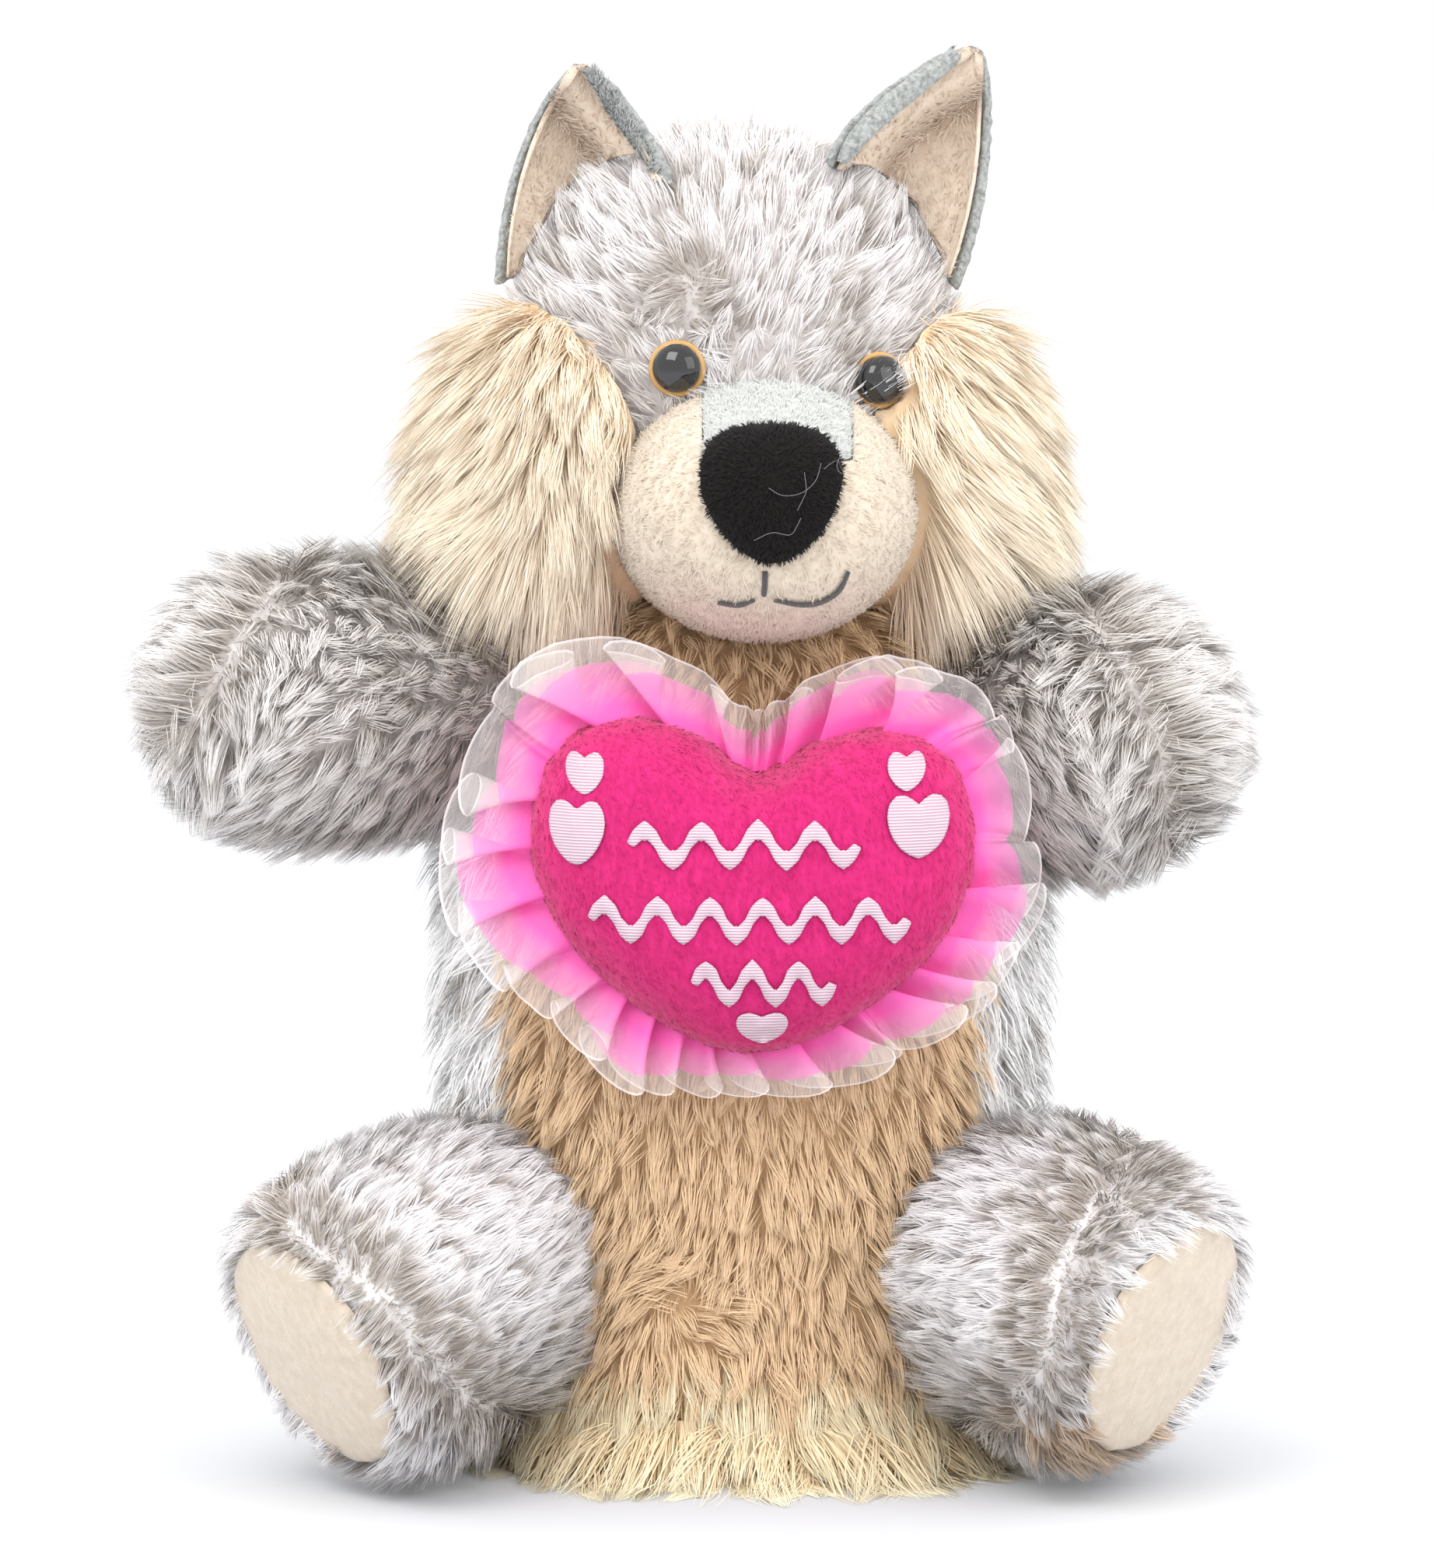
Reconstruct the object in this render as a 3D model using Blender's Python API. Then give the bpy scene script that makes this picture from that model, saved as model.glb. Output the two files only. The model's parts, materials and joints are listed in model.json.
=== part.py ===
"""Plush wolf hand puppet with a ruffled heart cushion, standing on its open hem.

Blender 4.5, metres, +Z up. The puppet faces -Y, and its own right side is at -X.
"""
import math

import bmesh
import bpy
import numpy as np
from mathutils import Matrix, Vector
from mathutils.bvhtree import BVHTree

MM = 0.001

# Clearances and walls
GAP = 0.3 * MM
FACET_GAP = 0.8 * MM
SINK = 0.8 * MM
PLUSH_WALL = 3.5 * MM
MINKY_WALL = 1.5 * MM
FELT_WALL = 2.0 * MM
CUT_REACH = 60 * MM
FULL_TURN = (0.0, 2 * math.pi)

# Glove body: height, half width, reach to the front, reach to the back
BODY_STATIONS = (
    (0 * MM, 58 * MM, 58 * MM, 36 * MM),
    (10 * MM, 58 * MM, 54 * MM, 36 * MM),
    (30 * MM, 60 * MM, 48 * MM, 37 * MM),
    (60 * MM, 63 * MM, 46 * MM, 38 * MM),
    (100 * MM, 65 * MM, 46 * MM, 38 * MM),
    (135 * MM, 64 * MM, 46 * MM, 37 * MM),
    (158 * MM, 60 * MM, 42 * MM, 35 * MM),
    (172 * MM, 50 * MM, 35 * MM, 31 * MM),
    (181 * MM, 38 * MM, 29 * MM, 28 * MM),
    (188 * MM, 29 * MM, 25 * MM, 25 * MM),
)
HEM_HEIGHT = 12 * MM
BELLY_HALF_ANGLE = math.radians(50)

# Arms: hollow mittens that open into the glove
ARM_ROOT_RADIUS = 22 * MM
ARM_PAW_RADIUS = 32 * MM
ARM_ROOTS = {"left": (-42 * MM, 2 * MM, 157 * MM), "right": (42 * MM, 2 * MM, 155 * MM)}
ARM_ENDS = {"left": (-94 * MM, -20 * MM, 160 * MM), "right": (73 * MM, -19 * MM, 153 * MM)}

# Legs: stuffed, with a minky sole
LEG_RADIUS = 35 * MM
LEG_HIP_RADIUS = 21 * MM
SOLE_RADIUS = 26 * MM
SOLE_THICKNESS = 2.5 * MM
HIP_CENTRES = {"left": (-42 * MM, -4 * MM, 49 * MM), "right": (43 * MM, -4 * MM, 47 * MM)}
SOLE_CENTRES = {"left": (-87 * MM, -76 * MM, 31 * MM), "right": (85 * MM, -75 * MM, 34 * MM)}
SOLE_FACINGS = {"left": (-0.72, -0.48, -0.40), "right": (0.76, -0.50, -0.34)}

# Head: height, half width, reach to the front, reach to the back
HEAD_X = -2 * MM
HEAD_STATIONS = (
    (178 * MM, 34 * MM, 28 * MM, 31 * MM),
    (190 * MM, 43 * MM, 36 * MM, 38 * MM),
    (205 * MM, 47.5 * MM, 43 * MM, 44 * MM),
    (225 * MM, 49 * MM, 46 * MM, 47 * MM),
    (245 * MM, 47 * MM, 43 * MM, 46 * MM),
    (262 * MM, 39 * MM, 34 * MM, 38 * MM),
    (273 * MM, 27 * MM, 22 * MM, 27 * MM),
    (279 * MM, 14 * MM, 11 * MM, 15 * MM),
    (281 * MM, 4 * MM, 3 * MM, 4 * MM),
)
POCKET_RADIUS = 13 * MM
POCKET_WALL = 1 * MM
POCKET_TOP = 243 * MM
POCKET_CLEAR = 2 * MM

# Cheek ruffs: long-pile pads on the sides of the head
CHEEK_HALF_SIZES = {"left": (31 * MM, 32 * MM, 36 * MM), "right": (27 * MM, 31 * MM, 35 * MM)}
CHEEK_CENTRES = {"left": (-41 * MM, -20 * MM, 207 * MM), "right": (42 * MM, -16 * MM, 206 * MM)}

# Muzzle, bridge panel and nose
MUZZLE_ROOT = (3 * MM, -20 * MM, 201 * MM)
MUZZLE_YAW = math.radians(4)
MUZZLE_HALF_WIDTH = 32.5 * MM
MUZZLE_HALF_HEIGHT = 28 * MM
MUZZLE_LENGTH = 61 * MM
BRIDGE_X = 7 * MM
BRIDGE_HALF_WIDTH = 15 * MM
BRIDGE_FOOT = 213 * MM
NOSE_CENTRE = (5.6 * MM, 204 * MM)
NOSE_THICKNESS = 4 * MM
NOSE_HALF_OUTLINE = (
    (0, 15 * MM),
    (9 * MM, 13.5 * MM),
    (13.3 * MM, 8.5 * MM),
    (13.3 * MM, 0.5 * MM),
    (9.5 * MM, -7.5 * MM),
    (4 * MM, -12.4 * MM),
    (0, -13.6 * MM),
)
STITCH_HALF_WIDTH = 0.6 * MM
STITCH_THICKNESS = 0.8 * MM
STITCH_PATHS = {
    "philtrum_stitch": ((4.4 * MM, 188.8 * MM), (4.4 * MM, 187.4 * MM), (4.2 * MM, 186 * MM)),
    "left_mouth_stitch": ((2.6 * MM, 185.4 * MM), (-1 * MM, 184 * MM), (-5.2 * MM, 184.6 * MM)),
    "right_mouth_stitch": (
        (5.9 * MM, 185.3 * MM),
        (13.4 * MM, 184 * MM),
        (18.9 * MM, 186.4 * MM),
        (21.1 * MM, 191 * MM),
    ),
}

# Eyes: amber iris with a shank, black lens, washer inside the head
EYE_CENTRES = {"left": (-13.4 * MM, 230.3 * MM), "right": (27.9 * MM, 227.6 * MM)}
IRIS_RADIUS = 6.1 * MM
IRIS_THICKNESS = 1.8 * MM
PUPIL_RADIUS = 5.2 * MM
PUPIL_HEIGHT = 3.2 * MM
SHANK_RADIUS = 1.6 * MM
SHANK_LENGTH = 8.5 * MM
WASHER_RADIUS = 5 * MM
WASHER_THICKNESS = 1.5 * MM
WASHER_SEAT = 1.2 * MM

# Ears: base centre, tip, then the width and the wrap of each half, on the viewer's left and right
EARS = {
    "left": ((-33 * MM, -4 * MM, 255 * MM), (-34 * MM, 0, 292.5 * MM),
             (20 * MM, 33 * MM), (math.radians(45), math.radians(100))),
    "right": ((33 * MM, -3 * MM, 257 * MM), (49 * MM, -2 * MM, 296 * MM),
              (35 * MM, 18 * MM), (math.radians(100), math.radians(60))),
}
EAR_CURL = {"left": 12 * MM, "right": 8 * MM}
EAR_BASE_TILT = {"left": math.radians(-24), "right": math.radians(22)}
EAR_LEAST_BEND = 8 * MM

# Heart cushion and its ruffle; the outlines are right halves, from the dip to the bottom
HEART_CENTRE = (1.5 * MM, -53.1 * MM, 124 * MM)
HEART_TILT = math.radians(3)
HEART_FRONT_DEPTH = 21 * MM
HEART_BACK_DEPTH = 6 * MM
HEART_HALF_OUTLINE = (
    (0, 24 * MM),
    (12 * MM, 31 * MM),
    (27 * MM, 34.5 * MM),
    (41 * MM, 28 * MM),
    (46.4 * MM, 11 * MM),
    (42 * MM, -5 * MM),
    (33 * MM, -17.5 * MM),
    (17 * MM, -29 * MM),
    (0, -34.5 * MM),
)
RUFFLE_HALF_OUTLINE = (
    (0, 38 * MM),
    (14 * MM, 46 * MM),
    (32 * MM, 50 * MM),
    (51 * MM, 42 * MM),
    (61 * MM, 18 * MM),
    (58 * MM, -8 * MM),
    (46 * MM, -26 * MM),
    (24 * MM, -41 * MM),
    (0, -46 * MM),
)
RUFFLE_THICKNESS = 0.8 * MM
RUFFLE_TUCK = 2 * MM
PLEATS = 22
PLEAT_HEIGHT = 3 * MM
PLEAT_LEAN = 2.5 * MM

# Embroidery on the heart: centre, width and height of each small heart, and each garland row
PATCH_THICKNESS = 0.8 * MM
SMALL_HEARTS = {
    "upper_left_heart": ((-32.1 * MM, 146.1 * MM), (8 * MM, 8.4 * MM)),
    "lower_left_heart": ((-33.7 * MM, 134.2 * MM), (11.5 * MM, 13.2 * MM)),
    "upper_right_heart": ((33.2 * MM, 146.4 * MM), (7.9 * MM, 7.6 * MM)),
    "lower_right_heart": ((35.6 * MM, 135.5 * MM), (12.9 * MM, 12.9 * MM)),
    "bottom_heart": ((3.9 * MM, 94.4 * MM), (10.6 * MM, 6.6 * MM)),
}
GARLANDS = {
    "upper_garland": ((0.2 * MM, 131.3 * MM), 46 * MM, 4),
    "middle_garland": ((1.3 * MM, 116 * MM), 64 * MM, 6),
    "lower_garland": ((4.2 * MM, 103 * MM), 28 * MM, 3),
}
GARLAND_WAVE = 3 * MM
GARLAND_STEM = 0.9 * MM
GARLAND_LEAF = 2.2 * MM

# Colours and roughness
FINISHES = {
    "grey_plush": ((0.72, 0.70, 0.70), 0.9),
    "tan_plush": ((0.62, 0.41, 0.22), 0.9),
    "cream_plush": ((0.83, 0.69, 0.46), 0.9),
    "cream_minky": ((0.84, 0.72, 0.58), 0.85),
    "pale_grey_minky": ((0.74, 0.75, 0.74), 0.85),
    "grey_fleece": ((0.45, 0.48, 0.47), 0.9),
    "black_velour": ((0.01, 0.009, 0.009), 0.9),
    "thread": ((0.85, 0.83, 0.87), 0.5),
    "dark_thread": ((0.22, 0.22, 0.21), 0.6),
    "pink_minky": ((0.77, 0.03, 0.21), 0.8),
    "pink_organza": ((1.0, 0.35, 0.68), 0.4),
    "amber_plastic": ((0.40, 0.20, 0.04), 0.2),
    "black_plastic": ((0.01, 0.01, 0.012), 0.08),
    "white_plastic": ((0.8, 0.8, 0.78), 0.4),
    "fibrefill": ((0.85, 0.85, 0.84), 0.95),
    "tricot": ((0.75, 0.75, 0.74), 0.8),
}


def clear_scene():
    for obj in list(bpy.data.objects):
        bpy.data.objects.remove(obj, do_unlink=True)


def finish(name):
    """The Principled material of this name, made on its first use."""
    found = bpy.data.materials.get(name)
    if found:
        return found
    colour, roughness = FINISHES[name]
    made = bpy.data.materials.new(name)
    made.use_nodes = True
    shader = made.node_tree.nodes["Principled BSDF"]
    shader.inputs["Base Color"].default_value = (*colour, 1)
    shader.inputs["Roughness"].default_value = roughness
    return made


def interpolate(points, count, closed=False):
    """A smooth curve through the points, read at count places."""
    points = np.array(points, float)
    total = len(points)
    spans = total if closed else total - 1
    places = np.linspace(0, spans, count, endpoint=not closed)
    start = np.minimum(places.astype(int), spans - 1)
    part = (places - start)[:, None]

    def at(shift):
        index = start + shift
        return points[index % total if closed else np.clip(index, 0, total - 1)]

    before, first, second, after = at(-1), at(0), at(1), at(2)
    return first + 0.5 * part * (
        second - before
        + part * (2 * before - 5 * first + 4 * second - after
                  + part * (3 * (first - second) + after - before))
    )


def level_rings(stations, low, high, rows):
    """Evenly spaced levels of the smooth body through the stations, from low to high."""
    dense = interpolate(stations, 20 * len(stations))
    levels = np.linspace(low, high, rows)
    return np.stack([levels] + [np.interp(levels, dense[:, 0], column)
                                for column in dense[:, 1:].T], 1)


def ovals(rings, count, centre_x=0.0, inset=0.0, arc=FULL_TURN, squareness=2.2):
    """Ovals whose front and back reach differ, one for each ring. A full turn closes them."""
    full = arc == FULL_TURN
    angles = np.linspace(arc[0], arc[1], count, endpoint=not full)
    cosine, sine = np.cos(angles), np.sin(angles)
    power = 2 / squareness
    across = np.sign(cosine) * np.abs(cosine) ** power
    along = np.sign(sine) * np.abs(sine) ** power
    grid = []
    for height, half, front, back in rings:
        reach = np.where(along < 0, front - inset, back - inset)
        grid.append(np.stack([centre_x + (half - inset) * across, reach * along,
                              np.full(count, height)], 1))
    return np.array(grid)


def turned(profile, count, flatten=1.0):
    """Rings about local Z through (radius, height) points."""
    angles = np.linspace(0, 2 * math.pi, count, endpoint=False)
    return np.array([
        np.stack([radius * np.cos(angles), flatten * radius * np.sin(angles),
                  np.full(count, height)], 1)
        for radius, height in profile
    ])


def inset_grid(grid, depth):
    """The closed rings moved inwards along their normals, or outwards where depth is negative."""
    around = np.roll(grid, -1, 1) - np.roll(grid, 1, 1)
    along = np.gradient(grid, axis=0)
    normals = np.cross(around, along)
    normals /= np.linalg.norm(normals, axis=2, keepdims=True)
    return grid - depth * normals


def build(name, points, faces, finish_name, location=(0, 0, 0), rotation=None):
    mesh = bpy.data.meshes.new(name)
    mesh.from_pydata([tuple(p) for p in points], [], faces)
    work = bmesh.new()
    work.from_mesh(mesh)
    bmesh.ops.recalc_face_normals(work, faces=work.faces)
    bmesh.ops.triangulate(work, faces=[f for f in work.faces if len(f.verts) > 4])
    work.to_mesh(mesh)
    work.free()
    mesh.shade_smooth()
    mesh.set_sharp_from_angle(angle=math.radians(50))
    mesh.materials.append(finish(finish_name))
    obj = bpy.data.objects.new(name, mesh)
    obj.location = location
    if rotation is not None:
        obj.rotation_mode = "QUATERNION"
        obj.rotation_quaternion = rotation
    bpy.context.scene.collection.objects.link(obj)
    return obj


def strips(rows, columns, around, first=0, flip=False):
    """Quads of a grid whose points are numbered row by row from first."""
    faces = []
    for row in range(rows - 1):
        for column in range(columns if around else columns - 1):
            following = (column + 1) % columns
            low, high = first + row * columns, first + (row + 1) * columns
            quad = [low + column, low + following, high + following, high + column]
            faces.append(quad[::-1] if flip else quad)
    return faces


def solid(name, grid, finish_name, **place):
    """A closed body of rings, with a flat cap on its first and last ring."""
    rows, columns = grid.shape[:2]
    faces = strips(rows, columns, True)
    faces.append(list(range(columns))[::-1])
    faces.append([(rows - 1) * columns + i for i in range(columns)])
    return build(name, grid.reshape(-1, 3), faces, finish_name, **place)


def shell(name, outer, inner, finish_name, around=True, capped=False, **place):
    """A closed wall between two grids. A capped one is closed over at its last ring."""
    rows, columns = outer.shape[:2]
    total = rows * columns
    faces = strips(rows, columns, around) + strips(rows, columns, around, total, True)
    last = (rows - 1) * columns
    for column in range(columns if around else columns - 1):
        following = (column + 1) % columns
        faces.append([column, total + column, total + following, following])
        if not capped:
            faces.append([last + column, last + following,
                          total + last + following, total + last + column])
    if capped:
        faces.append([last + i for i in range(columns)])
        faces.append([total + last + i for i in range(columns)][::-1])
    if not around:
        for row in range(rows - 1):
            for column in (0, columns - 1):
                low, high = row * columns + column, (row + 1) * columns + column
                faces.append([low, high, total + high, total + low])
    points = np.concatenate([outer.reshape(-1, 3), inner.reshape(-1, 3)])
    return build(name, points, faces, finish_name, **place)


def as_cutter(obj):
    obj.hide_render = True
    obj.display_type = "WIRE"
    return obj


def boolean(obj, cutter, operation="DIFFERENCE"):
    change = obj.modifiers.new(cutter.name, "BOOLEAN")
    change.operation = operation
    change.solver = "EXACT"
    change.object = cutter


def surface_of(obj):
    """A tree of the object's own mesh in world space, for laying pieces on it."""
    world = placement(obj)
    points = [world @ v.co for v in obj.data.vertices]
    return BVHTree.FromPolygons(points, [tuple(f.vertices) for f in obj.data.polygons])


def placement(obj):
    turn = obj.rotation_quaternion.to_matrix().to_4x4()
    return Matrix.Translation(obj.location) @ turn


def facing(direction):
    return Vector(direction).to_track_quat("Z", "Y")


def front_of(tree, x, z):
    """Where a line from the front meets the surface, and the surface's normal there."""
    point, normal, _, _ = tree.ray_cast(Vector((x, -1, z)), Vector((0, 1, 0)))
    return point, normal


def layers_on(tree, points, thickness):
    """Points above the surface and points sunk in it, for outline points (x, z)."""
    hits = [front_of(tree, x, z) for x, z in points]
    seats = np.array([hit[0] for hit in hits])
    normals = np.array([hit[1] for hit in hits])
    return seats + normals * (GAP + thickness), seats - normals * SINK


def laid_pad(name, tree, cutters, outline, thickness, finish_name, rings=3, edge=0.5):
    """A crowned pad of this outline (x, z) on the surface, thinner at its edge."""
    outline = np.array(outline)
    middle = outline.mean(0)
    layers = []
    for scale in np.linspace(1, 0.12, rings):
        crown = thickness * (edge + (1 - edge) * math.sqrt(1 - scale ** 2))
        layers.append(layers_on(tree, middle + scale * (outline - middle), crown))
    top, base = np.array(layers).transpose(1, 0, 2, 3)
    pad = shell(name, top, base, finish_name, capped=True)
    for cutter in cutters:
        boolean(pad, cutter)
    return pad


def laid_ribbon(name, tree, cutters, path, half_widths, thickness, finish_name):
    """A flat band of stitching along a path (x, z) on the surface."""
    path = np.array(path)
    along = np.gradient(path, axis=0)
    along /= np.linalg.norm(along, axis=1, keepdims=True)
    across = np.stack([-along[:, 1], along[:, 0]], 1) * np.reshape(half_widths, (-1, 1))
    layers = [layers_on(tree, path + share * across, thickness * (1 - 0.4 * abs(share)))
              for share in (-1, 0, 1)]
    top, base = np.array(layers).transpose(1, 0, 2, 3)
    ribbon = shell(name, top, base, finish_name, around=False)
    for cutter in cutters:
        boolean(ribbon, cutter)


def mirrored(half_outline, count):
    """A closed anticlockwise outline from its right half, given from top to bottom."""
    half = list(half_outline)[::-1]
    left = [(-x, z) for x, z in half[-2:0:-1]]
    return interpolate(half + left, count, closed=True)


def glove():
    """The body panels, the hem band and the cutters that stand for the body."""
    neck_top = BODY_STATIONS[-1][0]
    upper = level_rings(BODY_STATIONS, HEM_HEIGHT + GAP, neck_top, 12)
    lower = level_rings(BODY_STATIONS, 0, HEM_HEIGHT, 3)
    whole = level_rings(BODY_STATIONS, 0, neck_top, 19)
    seam = GAP / BODY_STATIONS[3][1]
    front = -math.pi / 2
    arcs = {
        "belly_panel": (front - BELLY_HALF_ANGLE, front + BELLY_HALF_ANGLE, 12, "tan_plush"),
        "back_panel": (front + BELLY_HALF_ANGLE + seam,
                       front + 2 * math.pi - BELLY_HALF_ANGLE - seam, 28, "grey_plush"),
    }
    panels = []
    for name, (start, end, count, finish_name) in arcs.items():
        outer = ovals(upper, count, arc=(start, end))
        inner = ovals(upper, count, arc=(start, end), inset=PLUSH_WALL)
        panels.append(shell(name, outer, inner, finish_name, around=False))
    shell("hem_band", ovals(lower, 40), ovals(lower, 40, inset=PLUSH_WALL), "cream_plush")
    grown = ovals(whole, 40, inset=-FACET_GAP)
    grown[0, :, 2] -= FACET_GAP
    grown[-1, :, 2] += FACET_GAP
    grown = as_cutter(solid("body_cutter", grown, "fibrefill"))
    cavity = as_cutter(solid("cavity_cutter", ovals(whole, 40, inset=PLUSH_WALL), "fibrefill"))
    return panels, grown, cavity


def mitten_profile(length):
    """A widening sleeve with a round end."""
    steps = [(ARM_ROOT_RADIUS + (ARM_PAW_RADIUS - ARM_ROOT_RADIUS) * math.sin(s * math.pi / 2),
              s * length) for s in np.linspace(0, 1, 5)]
    steps += [(ARM_PAW_RADIUS * math.cos(a), length + ARM_PAW_RADIUS * math.sin(a))
              for a in np.radians(np.linspace(0, 82, 5))[1:]]
    return steps


def arms(panels, cavity):
    cutters = []
    for side in ("left", "right"):
        root, end = Vector(ARM_ROOTS[side]), Vector(ARM_ENDS[side])
        place = {"location": root, "rotation": facing(end - root)}
        outer = turned(mitten_profile((end - root).length), 20)
        arm = shell(f"{side}_arm", outer, inset_grid(outer, PLUSH_WALL), "grey_plush",
                    capped=True, **place)
        boolean(arm, cavity)
        cutter = as_cutter(solid(f"{side}_arm_cutter", inset_grid(outer, -GAP), "fibrefill",
                                 **place))
        for panel in panels:
            boolean(panel, cutter)
        cutters.append(cutter)
    return cutters


def leg_profile(length, inset):
    """From the hip, over the thigh's bulge, to the rim of the sole."""
    stations = ((LEG_HIP_RADIUS, 0), (0.93 * LEG_RADIUS, 0.36 * length),
                (LEG_RADIUS, 0.62 * length), (0.96 * LEG_RADIUS, 0.88 * length),
                (SOLE_RADIUS, length))
    return [(radius - inset, height) for radius, height in stations]


def legs(body_cutter):
    for side in ("left", "right"):
        hip, sole = Vector(HIP_CENTRES[side]), Vector(SOLE_CENTRES[side])
        length = (sole - hip).length
        place = {"location": hip, "rotation": facing(sole - hip)}
        tilt = place["rotation"].inverted() @ Vector(SOLE_FACINGS[side])

        def leaned(grid):
            """The rings tilted more and more, until the last one faces as the sole does."""
            grid = grid.copy()
            slope = grid[:, :, 0] * tilt.x + grid[:, :, 1] * tilt.y
            grid[:, :, 2] -= slope / tilt.z * (grid[:, :, 2] / length) ** 2
            return grid

        outer, inner = (leaned(turned(interpolate(leg_profile(length, wall), 8), 22))
                        for wall in (0, PLUSH_WALL))
        fill = turned(interpolate(leg_profile(length - 2 * GAP, PLUSH_WALL + 4 * GAP), 6), 14)
        boolean(shell(f"{side}_leg", outer, inner, "grey_plush", **place), body_cutter)
        boolean(solid(f"{side}_leg_stuffing", leaned(fill), "fibrefill", **place), body_cutter)
        start = length + 2 * GAP
        pad = ((SOLE_RADIUS, start),
               (SOLE_RADIUS - 0.5 * SOLE_THICKNESS, start + 0.7 * SOLE_THICKNESS),
               (0.6 * SOLE_RADIUS, start + 1.3 * SOLE_THICKNESS),
               (0.15 * SOLE_RADIUS, start + 1.5 * SOLE_THICKNESS))
        solid(f"{side}_sole", leaned(turned(pad, 22)), "cream_minky", **place)


def head(body_cutter):
    outer = ovals(interpolate(HEAD_STATIONS, 12), 28, HEAD_X)
    cover = shell("head_cover", outer, inset_grid(outer, PLUSH_WALL), "grey_plush", capped=True)
    cutter = as_cutter(solid("head_cutter", inset_grid(outer, -GAP), "fibrefill"))
    fill = ovals(interpolate(HEAD_STATIONS, 9), 18, HEAD_X)
    stuffing = solid("head_stuffing", inset_grid(fill, PLUSH_WALL + 3 * GAP), "fibrefill")
    neck_top = BODY_STATIONS[-1][0]
    pocket = [(POCKET_RADIUS, neck_top + 2 * GAP), (POCKET_RADIUS, POCKET_TOP - POCKET_RADIUS)]
    pocket += [(POCKET_RADIUS * math.cos(a), POCKET_TOP + POCKET_RADIUS * (math.sin(a) - 1))
               for a in np.radians((30, 55, 78))]
    pocket = turned(pocket, 14)
    pocket[:, :, 0] += HEAD_X
    shell("finger_pocket", pocket, inset_grid(pocket, POCKET_WALL), "tricot", capped=True)
    room = inset_grid(pocket, -GAP)
    room[0, :, 2] -= POCKET_CLEAR
    pocket_cutter = as_cutter(solid("pocket_cutter", room, "fibrefill"))
    boolean(cover, body_cutter)
    boolean(stuffing, body_cutter)
    boolean(stuffing, pocket_cutter)
    return cover, stuffing, cutter


def cheeks(cutters):
    angles = np.radians(np.linspace(-82, 82, 10))
    grid = turned([(math.cos(a), math.sin(a)) for a in angles], 20)
    for side in ("left", "right"):
        cheek = solid(f"{side}_cheek", grid * CHEEK_HALF_SIZES[side], "cream_plush",
                      location=CHEEK_CENTRES[side])
        for cutter in cutters:
            boolean(cheek, cutter)


def muzzle(head_cutter, body_cutter):
    turn = facing((math.sin(MUZZLE_YAW), -math.cos(MUZZLE_YAW), 0))
    place = {"location": MUZZLE_ROOT, "rotation": turn}
    profile = [(math.cos(a) ** 0.6, MUZZLE_LENGTH * math.sin(a) ** 0.85)
               for a in np.radians(np.linspace(0, 84, 9))]
    size = (MUZZLE_HALF_WIDTH, MUZZLE_HALF_HEIGHT, 1)
    outer = turned(profile, 26) * size
    inner = inset_grid(outer, MINKY_WALL)
    cover = shell("muzzle", outer, inner, "cream_minky", capped=True, **place)
    bridge = shell("muzzle_bridge", outer, inner, "pale_grey_minky", capped=True, **place)
    stuffing = solid("muzzle_stuffing", inset_grid(turned(profile[::2], 18) * size,
                                                   MINKY_WALL + 3 * GAP), "fibrefill", **place)
    for piece in (cover, bridge, stuffing):
        boolean(piece, head_cutter)
        boolean(piece, body_cutter)
    panel = {grow: box_cutter(f"bridge_cutter_{grow}", BRIDGE_HALF_WIDTH + grow * GAP,
                              BRIDGE_FOOT - grow * GAP) for grow in (0, 1)}
    boolean(cover, panel[1])
    boolean(bridge, panel[0], "INTERSECT")
    cutter = as_cutter(solid("muzzle_cutter", inset_grid(outer, -GAP), "fibrefill", **place))
    return cover, bridge, stuffing, cutter


def box_cutter(name, half_width, foot):
    """A box over the bridge panel, from foot upwards."""
    grid = np.array([[(BRIDGE_X + x * half_width, y, z)
                      for x, y in ((-1, -CUT_REACH * 2), (1, -CUT_REACH * 2), (1, 0), (-1, 0))]
                     for z in (foot, foot + CUT_REACH)])
    return as_cutter(solid(name, grid, "fibrefill"))


def nose_and_mouth(muzzle_cover, cutters):
    tree = surface_of(muzzle_cover)
    outline = mirrored(NOSE_HALF_OUTLINE, 24) + NOSE_CENTRE
    laid_pad("nose", tree, cutters, outline, NOSE_THICKNESS, "black_velour", rings=5)
    for name, path in STITCH_PATHS.items():
        laid_ribbon(name, tree, cutters, interpolate(path, 9), np.full(9, STITCH_HALF_WIDTH),
                    STITCH_THICKNESS, "dark_thread")


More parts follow.
